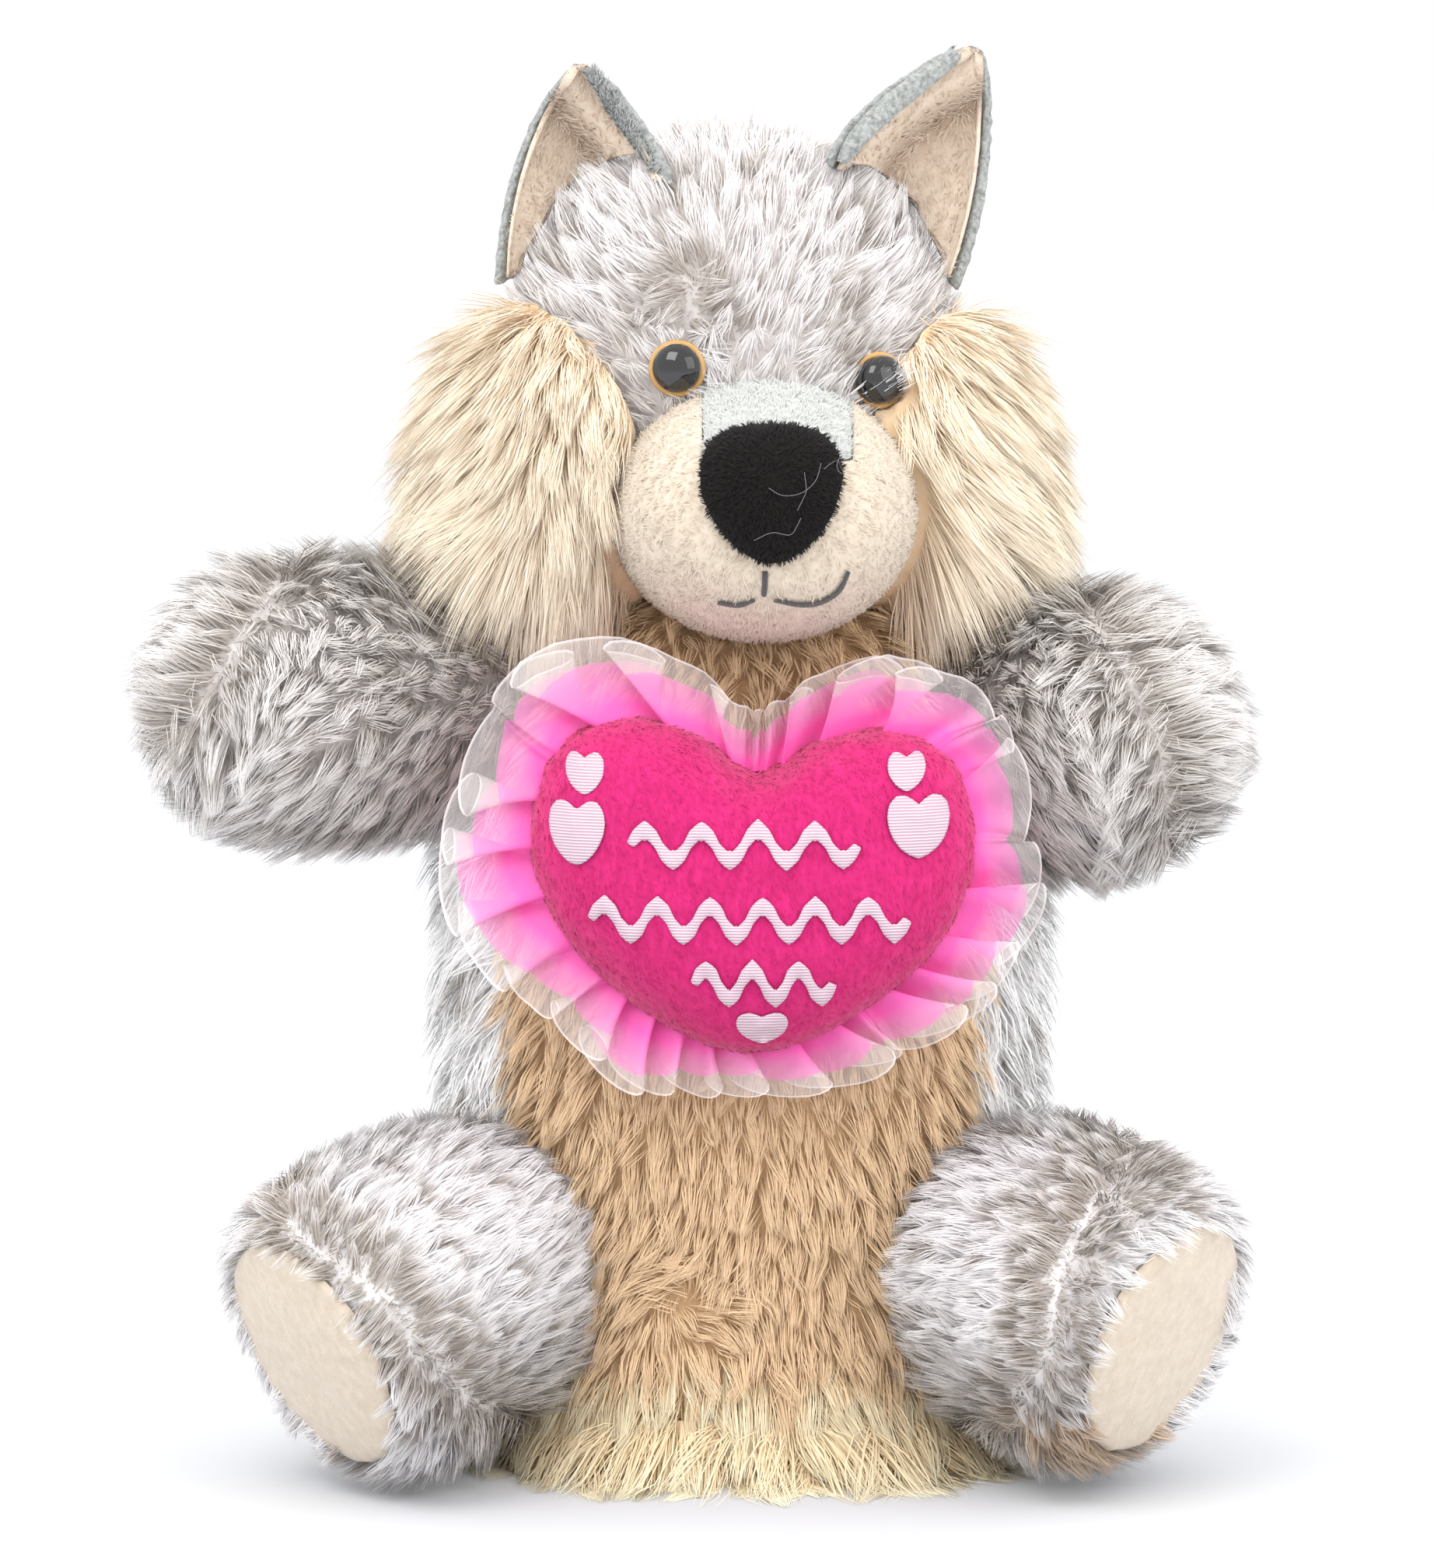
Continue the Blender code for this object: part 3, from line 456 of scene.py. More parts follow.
    mesh.materials.append(PLUSH)
    mesh.polygons.foreach_set("use_smooth", np.ones(len(sizes), bool))
    facing = unit(face * (1 - GROUND_SHARE) + normals[None] * GROUND_SHARE)
    facing = np.concatenate([facing[:-1], facing[:-1], facing[-1:]]).transpose(1, 0, 2)
    mesh.normals_split_custom_set_from_vertices(facing.reshape(-1, 3))
    obj = bpy.data.objects.new(name, mesh)
    bpy.context.scene.collection.objects.link(obj)
    return show(obj, slot)


def from_centre(centre):
    return lambda points: unit(points - centre)


def from_axis(start, end):
    """Outward from the line between two points, and outward past its end."""
    start, end = np.array(start), np.array(end)
    along = unit(end - start)

    def outward(points):
        share = ((points - start) @ along).clip(0, np.linalg.norm(end - start))
        return unit(points - start - share[:, None] * along)

    return outward


# Places worked out from the frame

HEM = middle("hem_band")
BODY_AXIS = np.array((HEM[0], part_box("hem_band")[0][1] + 58 * MM, 0.0))
HEAD = middle("head_cover") + np.array((0, 0, -8 * MM))
NOSE = middle("nose")
EYES = {side: middle(f"{side}_eye_iris") for side in SIDES}
CHEEKS = {side: middle(f"{side}_cheek") for side in SIDES}
SIGN = {"left": -1.0, "right": 1.0}


def foot_of(side, rise):
    """The middle of an ear's foot, raised by this many millimetres."""
    node = f"{side}_ear_back"
    return middle(node) * (1, 1, 0) + (0, 0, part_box(node)[0][2] + rise * MM)


EAR_FEET = [foot_of(side, 10) for side in SIDES]


def spot(x, y, z):
    """A place in millimetres to the right of, behind and above the middle of the hem."""
    return BODY_AXIS + np.array((x, y, z)) * MM


def body_outward(points):
    return unit((points - BODY_AXIS) * (1, 1, 0))


def steady(way):
    """The same direction at every point."""
    return lambda points, normals=None: np.tile(way, (len(points), 1))


def dress(node, name, material, slot, levels=0, shift=None):
    """The finished piece for a CAD node, put in its place."""
    return show(dressed(node, name, material, levels, shift), slot, node)


def shell(node, name, ground, slot, outward, depth):
    """A plush skin, drawn in to leave room for its pile."""
    return dress(node, name, ground, slot, 0, sunk(outward, depth))


def filled(node, name, outward, depth):
    """The stuffing in a shell, drawn in with it."""
    dress(node, name, FILL, "fibrefill", 0, sunk(outward, depth, False))


def parted(points, seam):
    """The way from a parting, drawn as seen from the front, to each point, and how far it is."""
    flat = points[:, [0, 2]]
    nearest = np.full(len(points), np.inf)
    offset = np.zeros((len(points), 2))
    line = np.array(seam) * MM + BODY_AXIS[[0, 2]]
    for start, end in zip(line[:-1], line[1:]):
        along = end - start
        share = ((flat - start) @ along / (along @ along)).clip(0, 1)
        away = flat - start - share[:, None] * along
        far = lengths(away)
        closer = far < nearest
        nearest[closer] = far[closer]
        offset[closer] = away[closer]
    return unit(np.column_stack([offset[:, 0], np.zeros(len(points)), offset[:, 1]])), nearest


def smoothed(values):
    """These values, each averaged with the two on either side."""
    return np.convolve(np.pad(values, 2, "edge"), np.ones(5) / 5, "valid")


def fade(far, reach):
    """1 at no distance, falling smoothly to 0 over a few times the reach in millimetres."""
    return np.exp(-(far / (reach * MM)) ** 2)


# Piles

WHITE_TIP = (0.97, 0.945, 0.95)
TAUPE = (0.44, 0.385, 0.34)
GREY_ROOT = (0.73, 0.69, 0.68)
ARM_ROOT = (0.70, 0.65, 0.62)
ARM_TIP = (0.97, 0.945, 0.93)
CREAM_ROOT = (0.97, 0.79, 0.57)
CREAM_TIP = (0.99, 0.89, 0.74)
TAN_ROOT = (0.77, 0.53, 0.31)
TAN_TIP = (0.92, 0.70, 0.46)
HEM_ROOT = (0.92, 0.73, 0.46)
HEM_TIP = (0.99, 0.92, 0.70)
LEG_ROOT = (0.78, 0.75, 0.755)
LEG_TIP = (0.95, 0.935, 0.945)
SIDE_ROOT = (0.88, 0.87, 0.865)
SIDE_TIP = (0.97, 0.965, 0.96)
BROWN = ((0.50, 0.34, 0.21), (0.78, 0.63, 0.49))

under = {name: cloth_material(f"{name}_plush_ground", pair, 260, 0.6) for name, pair in (
    ("grey", [(0.46, 0.42, 0.39), (0.66, 0.62, 0.61)]),
    ("pale", [(0.62, 0.59, 0.58), (0.80, 0.78, 0.78)]),
    ("cream", [(0.80, 0.58, 0.36), (0.90, 0.70, 0.47)]),
    ("tan", [(0.52, 0.34, 0.19), (0.66, 0.45, 0.26)]))}
FILL = cloth_material("fibrefill", [(0.74, 0.74, 0.73), (0.90, 0.90, 0.89)], 350, 0.9, reach=0.8)


def crown():
    outward = from_centre(HEAD)
    faces = np.array([EYES["left"], EYES["right"], NOSE + np.array((0, 20 * MM, 0))])

    def open_face(points):
        """1 away from the eyes and muzzle, less beside them, where the pile is short."""
        far = lengths(points[:, None] - faces[None]) - np.array((0, 0, 22)) * MM
        return 1 - 0.75 * fade(far.min(1).clip(0, None), 13)

    def depth(points):
        return 4.6 * open_face(points)

    skin = shell("head_cover", "crown_cloth", under["grey"], "grey_plush", outward, depth)
    filled("head_stuffing", "head_fibrefill", outward, depth)
    near = tree_of("muzzle", "muzzle_bridge", "left_eye_iris", "right_eye_iris")
    whorl_at = spot(-10, 0, 246)

    def comb(points, normals):
        """Up and back from the muzzle, with a whorl over the brow on the viewer's left."""
        rise = np.tile((0.0, 0.35, 1.0), (len(points), 1))
        rise[:, 0] = (points[:, 0] - HEAD[0]) / (34 * MM)
        behind = ((points[:, 1] - HEAD[1]) / (40 * MM)).clip(0, 1)[:, None]
        rise = rise * (1 - 1.7 * behind)
        for ear in EAR_FEET:
            rise[:, 1] -= 0.9 * fade(lengths(points - ear), 13)
        offset = (points - whorl_at) * (1, 0, 1)
        weight = (fade(lengths(offset), 11) * (points[:, 1] < HEAD[1]))[:, None]
        whorl = unit(offset) * 0.7 + 0.8 * np.cross(normals, unit(offset))
        return rise * (1 - weight) + whorl * weight * 1.5

    def region(points):
        """Taupe shows in the whorl, between the eyes and ears, and in drifts."""
        whorl = fade(lengths((points - whorl_at) * (1, 0, 1)), 9) > 0.5
        return np.where(whorl & (points[:, 1] < HEAD[1]), 2, waves(points, 21 * MM, 13) > 0.3)

    def length(points):
        return 8.8 * (0.35 + 0.65 * open_face(points))

    for number, (root, way, reach) in enumerate(((spot(22.5, 0, 224.5), (0.8, -0.3, 0.45), 10),
                                                 (spot(-8.5, 0, 224), (-0.9, -0.3, 0.3), 6))):
        grow(f"brow_wisp_{number + 1}", skin, "grey_plush", 150, [(WHITE_TIP, WHITE_TIP)],
             steady(way), length=reach, lift=(62, 30), width=0.22, lock=9, clump=0.5, rings=3,
             swirl=16, seed=15 + number,
             outward=outward, within=lambda points, root=root: (points[:, 1] < HEAD[1])
             & (lengths((points - root) * (1, 0, 1)) < 4.5 * MM))
    grow("crown_pile", skin, "grey_plush", 37000,
         [(GREY_ROOT, WHITE_TIP, 0.1), (TAUPE, WHITE_TIP, 0.35), (TAUPE, WHITE_TIP, 0.62)], comb,
         length=length, lift=(60, 28), width=0.27, lock=22, clump=0.84, swirl=12, seed=11,
         outward=outward, away_from=near, clearance=1.1, dark=TAUPE, dark_share=0.12, spread=0.05,
         tip_start=0.1, region=region)


CHEEK_SEAMS = {"left": [(-41, 236), (-38, 204)], "right": [(37, 236), (33, 206)]}


def cheek(number, side):
    head = tree_of("head_cover")
    outward = from_centre(CHEEKS[side])
    sign = SIGN[side]

    def thinned(points, normals):
        """Draws the pad towards the head, to leave room for its long pile."""
        seat = np.array([head.find_nearest(Vector(p))[0] for p in points])
        return (seat - points) * 0.52

    skin = dress(f"{side}_cheek", f"{side}_ruff_cloth", under["cream"], "cream_plush", 1,
                 thinned)
    near = tree_of("muzzle", "muzzle_bridge", f"{side}_eye_iris")
    ends = CHEEK_SEAMS[side]
    hub = spot((ends[0][0] + ends[1][0]) / 2, 0, (ends[0][1] + ends[1][1]) / 2)

    def spray(points):
        """Out from a parting on the cheek, mostly down, and straight down by the muzzle."""
        away, far = parted(points, ends)
        fan = away * (far / (9 * MM)).clip(0, 1)[:, None]
        fan[:, 1] = 0.25 * (points[:, 1] - hub[1]) / np.maximum(far, 9 * MM)
        inward = (fan[:, 0] * -sign).clip(0, 1)
        fan[:, 0] += sign * (0.15 + 0.85 * inward)
        fan[:, 2] -= 0.42
        inner = ((hub[0] - points[:, 0]) * sign / (7 * MM)).clip(0, 1)[:, None]
        below = ((hub[2] - 8 * MM - points[:, 2]) / (14 * MM)).clip(0, 1)[:, None]
        drop = np.array((sign * 0.12, -0.1, -1.0))
        return fan * (1 - inner * below) + drop * inner * below

    def length(points):
        outer = ((points[:, 0] - hub[0]) * sign / (18 * MM)).clip(0, 1)
        low = ((hub[2] - points[:, 2]) / (25 * MM)).clip(0, 1)
        return 14 + 6 * outer + 6 * low

    grow(f"{side}_ruff_pile", skin, "cream_plush", 18500, [(CREAM_ROOT, CREAM_TIP)],
         lambda points, normals: spray(points), length=length, lift=(40, 2), width=0.25, lock=22,
         rings=3, clump=0.62, swirl=11, seed=21 + number, outward=outward, away_from=near,
         clearance=2.5, droop=0.1, spread=0.05, tip_start=0.0, stray=0.2,
         bend=lambda points, share: spray(points) * (0.45 + 0.35 * share))


ARM_SEAMS = {"left": [(-92, 192), (-104, 174), (-115, 156)],
             "right": [(72, 181), (86, 154), (89, 133)]}


def arm(number, side):
    shoulder = spot(SIGN[side] * 30, -2, 156)
    low, high = (np.array(corner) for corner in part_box(f"{side}_arm"))
    paw = (low + high) / 2
    paw[0] = high[0] - 34 * MM if side == "right" else low[0] + 34 * MM
    outward = from_axis(shoulder, paw)
    skin = shell(f"{side}_arm", f"{side}_arm_cloth", under["grey"], "grey_plush", outward, 4.6)
    near = tree_of("back_panel", "belly_panel", "heart_ruffle")

    def comb(points, normals):
        """Out along the arm and falling, parted at a seam on the front."""
        fan = unit((points - shoulder) * (1, 0.6, 0.6))
        fan[:, 2] -= 0.35
        away, far = parted(points, ARM_SEAMS[side])
        weight = (0.7 * fade(far, 20) * (points[:, 1] < paw[1]))[:, None]
        return fan * (1 - weight) + away * weight

    def region(points):
        """Taupe roots along the partings and in drifts, and painted shade by the body on the
        viewer's left.
        """
        seam = fade(parted(points, ARM_SEAMS[side])[1], 6) > 0.5
        drift = waves(points, 19 * MM, 33) > 0.42
        inner = abs(points[:, 0] - BODY_AXIS[0]) < 78 * MM
        upper = points[:, 2] > paw[2] - 12 * MM
        shadow = inner & upper & (waves(points, 12 * MM, 34) > -0.4)
        return (seam | drift | shadow) * 1

    grow(f"{side}_arm_pile", skin, "grey_plush", 25000,
         [(ARM_ROOT, ARM_TIP, 0.0), (TAUPE, ARM_TIP, 0.3)], comb, length=11,
         lift=(56, 22), width=0.27, lock=24, clump=0.82, swirl=15, seed=31 + number,
         outward=outward, away_from=near, clearance=0.7, dark=TAUPE, dark_share=0.1,
         spread=0.07, region=region)


LEG_SEAMS = {"left": [(-90, 57), (-76, 49), (-62, 33), (-49, 13)],
             "right": [(83, 70), (71, 63), (64, 51), (61, 34), (56, 17)]}


def leg(number, side):
    hip = spot(SIGN[side] * 42, -4, 48)
    sole = middle(f"{side}_sole")
    outward = from_axis(hip, sole)
    along = unit(sole - hip)

    def depth(points):
        """Less beside the sole, which keeps its place."""
        return 3.7 * ((-(points - sole) @ along) / (16 * MM)).clip(0.15, 1)

    skin = shell(f"{side}_leg", f"{side}_leg_cloth", under["pale"], "grey_plush", outward,
                 depth)
    filled(f"{side}_leg_stuffing", f"{side}_leg_fibrefill", outward, depth)
    near = tree_of("belly_panel", "hem_band", "back_panel", f"{side}_sole")

    def comb(points, normals):
        """Away from the parting in front, and from hip to sole behind."""
        away = parted(points, LEG_SEAMS[side])[0]
        away[:, 2] -= 0.12
        front = (((hip + sole)[1] / 2 + 14 * MM - points[:, 1]) / (14 * MM)).clip(0, 1)[:, None]
        return away * front + (along * 0.9 - UP * 0.8) * (1 - front)

    def region(points):
        """Brown on the underside by the sole, and taupe roots along the parting."""
        close = (points - sole) @ along > -9 * MM
        brown = close & (points[:, 2] < sole[2] - 13 * MM) & (side == "right")
        seam = fade(parted(points, LEG_SEAMS[side])[1], 8.5) > 0.5
        drift = waves(points, 17 * MM, 43) > 0.6
        return np.where(brown, 1, np.where(seam | drift, 2, 0))

    def length(points):
        low = ((30 * MM - points[:, 2]) / (20 * MM)).clip(0, 1)
        outer = (points[:, 0] - BODY_AXIS[0]) * SIGN[side]
        inner = ((62 * MM - outer) / (20 * MM)).clip(0, 1)
        return 7.4 + 7 * low * inner

    grow(f"{side}_leg_pile", skin, "grey_plush", 27500,
         [(LEG_ROOT, LEG_TIP, 0.0), BROWN, (TAUPE, LEG_TIP, 0.5)], comb,
         length=length, lift=(58, 28), width=0.27, lock=24, clump=0.82, swirl=13,
         seed=41 + number, outward=outward, away_from=near, region=region,
         clearance=0.8, dark=(0.60, 0.56, 0.54), dark_share=0.08, spread=0.04)


def body():
    skin = shell("belly_panel", "belly_cloth", under["tan"], "tan_plush", body_outward, 3.3)
    near = tree_of("left_leg", "right_leg", "left_arm", "right_arm")
    cushion = tree_of("heart_back", "heart_ruffle")
    whorl = spot(-13, 0, 37)

    def open_place(points):
        """Shorter pile where the cushion and ruffle press on it."""
        far = [cushion.find_nearest(Vector(p))[3] for p in points]
        return ((np.array(far) - 3 * MM) / (14 * MM)).clip(0.5, 1)

    def comb(points, normals):
        """Down, with a cowlick over the left hip."""
        fall = np.tile((0.0, -0.2, -1.0), (len(points), 1))
        fall[:, 0] = 0.25 * (points[:, 0] - BODY_AXIS[0]) / (50 * MM)
        offset = (points - whorl) * (1, 0, 1)
        weight = 0.75 * fade(lengths(offset), 12)[:, None]
        ring = unit(offset) * 0.5 + np.cross(normals, unit(offset))
        return fall * (1 - weight) + ring * weight * 1.3

    grow("belly_pile", skin, "tan_plush", 33000,
         [(TAN_ROOT, TAN_TIP), (HEM_ROOT, HEM_TIP)], comb,
         length=lambda points: 10 * open_place(points)
         + 6 * ((32 * MM - points[:, 2]) / (16 * MM)).clip(0, 1),
         lift=(58, 26), width=0.27, lock=20, clump=0.72, swirl=13, seed=51,
         outward=body_outward, away_from=near,
         clearance=0.6, spread=0.07, tip_start=0.05, stray=0.16,
         region=lambda points: (points[:, 2] / MM < 23 + 6 * waves(points, 12 * MM, 55)) * 1)

    skin = shell("back_panel", "back_cloth", under["pale"], "grey_plush", body_outward, 3.4)
    near = tree_of("left_arm", "right_arm", "left_leg", "right_leg", "head_cover")
    grow("back_pile", skin, "grey_plush", 20000,
         [(SIDE_ROOT, SIDE_TIP, 0.0), (TAUPE, SIDE_TIP, 0.2)],
         steady(-UP), length=12, lift=(46, 16), width=0.42, lock=18, swirl=18, seed=52,
         outward=body_outward, away_from=near, clearance=0.6, spread=0.05,
         region=lambda points: (waves(points, 20 * MM, 54) > 0.45).astype(int))

    skin = shell("hem_band", "hem_cloth", under["cream"], "cream_plush", body_outward, 1.6)
    near = tree_of("left_leg", "right_leg")
    grow("hem_fringe", skin, "cream_plush", 9000, [(HEM_ROOT, HEM_TIP)],
         lambda points, normals: body_outward(points) * 0.9 - UP,
         length=26, lift=(34, 8), width=0.32, lock=42, clump=0.94, rings=3, seed=53,
         bend=lambda points, share: FRONT * 0.7 * share,
         outward=body_outward, away_from=near, clearance=0.4, spread=0.05,
         length_spread=0.5, within=lambda points: (points[:, 1] > BODY_AXIS[1] - 15 * MM)
         | (abs(points[:, 0] - BODY_AXIS[0]) < 50 * MM))


# Short-pile pieces

NAP = dict(lock=9, clump=0.45, swirl=22, length_spread=0.2, spread=0.03, stray=0.35)


def short_pile(node, slot, ground, count, colours, comb, outward, length, seed, shift=None,
               **options):
    """Minky or velour: the cut piece with a nap of short fibres."""
    skin = dress(node, f"{node}_cloth", ground, slot, 1, shift)
    settings = {**NAP, "lift": (50, 18), "width": 0.26, **options}
    grow(f"{node}_nap", skin, slot, count, colours, comb, length=length, seed=seed,
         outward=outward, **settings)


def strand(name, places, width, material, slot):
    """One loose fibre through these places, as a thin three-sided tube."""
    path = np.array(places)
    course = unit(np.gradient(path, axis=0))
    side = unit(np.cross(course, FRONT))
    up = np.cross(side, course)
    rings = [path + width / 2 * (side * math.cos(a) + up * math.sin(a))
             for a in (0.5, 2.6, 4.7)]
    count = len(path)
    faces = [(start + i, start + i + 1, end + i + 1, end + i)
             for start, end in ((0, count), (count, 2 * count), (2 * count, 0))
             for i in range(count - 1)]
    faces += [(0, count, 2 * count), (3 * count - 1, 2 * count - 1, count - 1)]
    return show(new_mesh(name, np.concatenate(rings), faces, material), slot)


def face():
    inner = middle("muzzle_stuffing") + np.array((0, 12 * MM, 0))
    outward = from_axis(inner, NOSE)
    minky = cloth_material("cream_minky", [(0.64, 0.545, 0.43), (0.73, 0.635, 0.52)], 700, 0.4)
    pale = cloth_material("pale_grey_minky", [(0.50, 0.51, 0.49), (0.57, 0.58, 0.56)], 700, 0.4)
    velour = cloth_material("black_velour", [(0.005, 0.004, 0.004), (0.016, 0.013, 0.012)], 900,
                            0.6, roughness=0.95, sheen=0.03)

    def from_nose(points, normals):
        return points - NOSE

    top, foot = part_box("nose")[1][2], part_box("philtrum_stitch")[0][2]

    def lifted(points, normals):
        """The nose drawn in from below by the depth of the nap round it."""
        return (top - points[:, 2])[:, None] * np.array((0, 0, 0.085))

    near = tree_of("nose")
    short_pile("muzzle", "cream_minky", minky, 10000,
               [((0.64, 0.545, 0.43), (0.75, 0.65, 0.54))], from_nose, outward, 1.7, 61,
               away_from=near, clearance=0.12, lift=(38, 12), clump=0.35)
    short_pile("muzzle_bridge", "pale_grey_minky", pale, 3500,
               [((0.53, 0.545, 0.52), (0.63, 0.645, 0.62))], from_nose, outward, 1.6, 62,
               away_from=near, clearance=0.2, lift=(38, 12), clump=0.35)
    short_pile("nose", "black_velour", velour, 5000,
               [((0.004, 0.003, 0.003), (0.016, 0.013, 0.012))],
               lambda points, normals: points - NOSE + np.array((0, 0, -4 * MM)),
               steady(FRONT), 1.3, 63, shift=lifted)
    thread = cloth_material("dark_stitch", [(0.03, 0.03, 0.03), (0.10, 0.095, 0.09)], 2600, 0.8,
                            stretch=(1, 1, 3))

    def longer(points, normals):
        """The stitch under the nose reaches up to it."""
        return (points[:, 2] - foot)[:, None] * np.array((0, -0.12, 0.7))

    for node in ("philtrum_stitch", "left_mouth_stitch", "right_mouth_stitch"):
        shift = longer if node == "philtrum_stitch" else lambda p, n: -n * 0.22 * MM
        dress(node, f"{node}_thread", thread, "dark_thread", 1, shift)

    lint = plain_material("lint", (0.26, 0.25, 0.26), 0.6)
    skin = tree_of("nose")
    curls = (((10, 6), (13, 8.5), (17, 8), (18.5, 5.5), (15, 4.5), (12.5, 6.5), (14, 9)),
             ((-1, 3), (2, 1), (6, 1.5), (9, 4), (10, 8)),
             ((-4, -8), (0, -6), (4, -7), (6, -3)),
             ((5, -2), (7, 2), (6.5, 6)))
    steps = 24
    for number, curl in enumerate(curls):
        knots = np.array(curl, float)
        at = np.linspace(0, len(knots) - 1, steps)
        flat = np.column_stack([np.interp(at, range(len(knots)), knots[:, k]) for k in (0, 1)])
        flat = np.column_stack([smoothed(flat[:, k]) for k in (0, 1)])
        seats = []
        for x, z in flat:
            start = NOSE + np.array((x, -60, z)) * MM
            hit = skin.ray_cast(Vector(start), Vector(-FRONT))[0]
            if hit is not None:
                seats.append(np.array(hit) + FRONT * 1.3 * MM)
        if len(seats) > 4:
            strand(f"nose_lint_{number + 1}", seats, 0.11 * MM, lint, "thread")


def eyes():
    radius = extent("left_eye_iris")[0] / 2
    black = plain_material("black_pupil", (0.006, 0.006, 0.008), 0.05, 0, 0.5, 1.0)
    for side in SIDES:
        amber, tree, sockets = node_material(f"{side}_amber_rim", 0.18, 0, 0.5, 0.8)
        place = add(tree, "TexCoord").outputs["Object"]
        flat = add(tree, "VectorMath", {0: place}, {1: (1, 0, 1)}, operation="MULTIPLY")
        span = add(tree, "VectorMath", {0: flat.outputs["Vector"]},
                   {1: tuple(EYES[side] * (1, 0, 1))}, operation="DISTANCE")
        share = add(tree, "Math", {0: span.outputs["Value"]}, {1: radius}, operation="DIVIDE")
        rings = ramp(tree, share.outputs[0], (0.76, (0.008, 0.007, 0.008)),
                     (0.79, (0.10, 0.05, 0.015)), (0.84, (0.50, 0.27, 0.07)),
                     (0.94, (0.62, 0.36, 0.11)), (1, (0.20, 0.10, 0.03)))
        tree.links.new(rings, sockets["Base Color"])
        for part, material, slot in (("iris", amber, "amber_plastic"),
                                     ("pupil", black, "black_plastic")):
            node = f"{side}_eye_{part}"
            dress(node, f"{node}_gloss", material, slot, 1)


FLEECE = cloth_material(
    "grey_fleece", [(0.22, 0.235, 0.225), (0.36, 0.375, 0.362), (0.50, 0.51, 0.495)], 950, 0.9,
    contrast=0.36, reach=0.6)
# The ear lining's colour is darkened by a layer of painted shade, made in ear().
LINING = cloth_material("ear_minky", [(0.74, 0.60, 0.47), (0.84, 0.72, 0.59)], 500, 0.5,
                        reach=0.4, shade="PaintedHollowShade")


def ear(number, side):
    """The ear's grey back wraps over its inner edge, in front of a lip and a hollow."""
    sign = SIGN[side]
    node = f"{side}_ear_lining"
    base = foot_of(side, 8)
    plain = dressed(node, "ear_outline", LINING, 2)
    outline = points_of(plain)
    bpy.data.objects.remove(plain)
    low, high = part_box(node)[0][2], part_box(node)[1][2]
    levels = np.linspace(low + 0.52 * (high - low), high - 0.6 * MM, 22)
    edge = []
    for level in levels:
        close = outline[abs(outline[:, 2] - level) < 1.6 * MM]
        edge.append(close[np.argmin(close[:, 0] * sign)])
    edge = np.array(edge)
    edge[:, 2] = levels
    for k in (0, 1):
        edge[:, k] = smoothed(edge[:, k])
    seam = (edge[::3, [0, 2]] - BODY_AXIS[[0, 2]]) / MM

    def upward(points, normals):
        return points - base

    def cupped(points, normals):
        far = parted(points, seam)[1] / MM
        lip = np.exp(-((far - 6.5) / 3.0) ** 2)
        hollow = (1 / (1 + np.exp(-(far - 10.0) / 0.9))) * np.exp(-((far - 12) / 11) ** 2)
        return FRONT * ((2.6 * lip - 4.6 * hollow) * MM)[:, None]

    dress(f"{side}_ear_back", f"{side}_ear_fleece", FLEECE, "grey_fleece", 2,
          lambda p, n: cupped(p, n) + n * (0.3 * MM * waves(p, 3 * MM, 70))[:, None])
    skin = dress(node, f"{node}_cloth", LINING, "cream_minky", 2,
                 lambda p, n: cupped(p, n) - n * (1.3 * MM, 0, 1.3 * MM))
    # Painted shade on the lining: darker in its hollow, along the fleece edge, and where it turns
    # sideways from the front.
    far = parted(points_of(skin), seam)[1] / MM
    facing = abs(points_of(skin, "normal")[:, 1])
    painted_shade = np.exp(-((far - 11.5) / 3.2) ** 2) + 0.35 * np.exp(-((far - 1.5) / 1.8) ** 2)
    painted_shade = (painted_shade + 0.55 * (0.9 - facing).clip(0, 1)).clip(0, 1.3)
    tone = 1 - np.array((0.36, 0.42, 0.46))[None] * painted_shade[:, None]
    paint(skin.data, "PaintedHollowShade", np.column_stack([tone, np.ones(len(far))]))
    grow(f"{node}_nap", skin, "cream_minky", 1200,
         [((0.76, 0.62, 0.49), (0.88, 0.77, 0.65))], upward, length=2.0, lift=(40, 14),
         width=0.3, seed=71 + number, outward=steady(FRONT), **NAP)

    along = unit(np.gradient(edge, axis=0))
    inward = unit(np.cross(FRONT, along)) * -sign
    turns = np.radians(np.linspace(-60, 215, 12))
    wide = (2.1 - 0.3 * -sign) * np.sin(np.linspace(0.25, math.pi * 0.86, len(edge))) ** 0.5
    wide = wide[:, None]
    rings = [edge + inward * (wide * (0.65 - math.cos(t))) * MM
             + FRONT * (wide * 0.6 * math.sin(t) + 1.0) * MM for t in turns]
    grid = np.concatenate(rings)
    grid += FRONT * (0.25 * MM * waves(grid, 2.5 * MM, 73))[:, None]
    strip = show(new_mesh(f"{side}_ear_fleece_edge", grid, net(len(turns), len(edge)), FLEECE),
                 "grey_fleece")
    grow(f"{side}_ear_fleece_fuzz", strip, "grey_fleece", 1300,
         [((0.24, 0.255, 0.245), (0.58, 0.59, 0.575))], upward, length=1.5, lift=(62, 30),
         width=0.22, lock=3, clump=0.3, swirl=30, seed=75 + number, spread=0.16,
         outward=steady(FRONT))


def soles():
    minky = cloth_material("sole_minky", [(0.58, 0.48, 0.37), (0.68, 0.59, 0.48)], 420, 0.5,
                           reach=0.35)
    for side in SIDES:
        dress(f"{side}_sole", f"{side}_sole_cloth", minky, "cream_minky", 2,
              lambda p, n: n * (0.25 * MM * waves(p, 14 * MM, 81))[:, None])


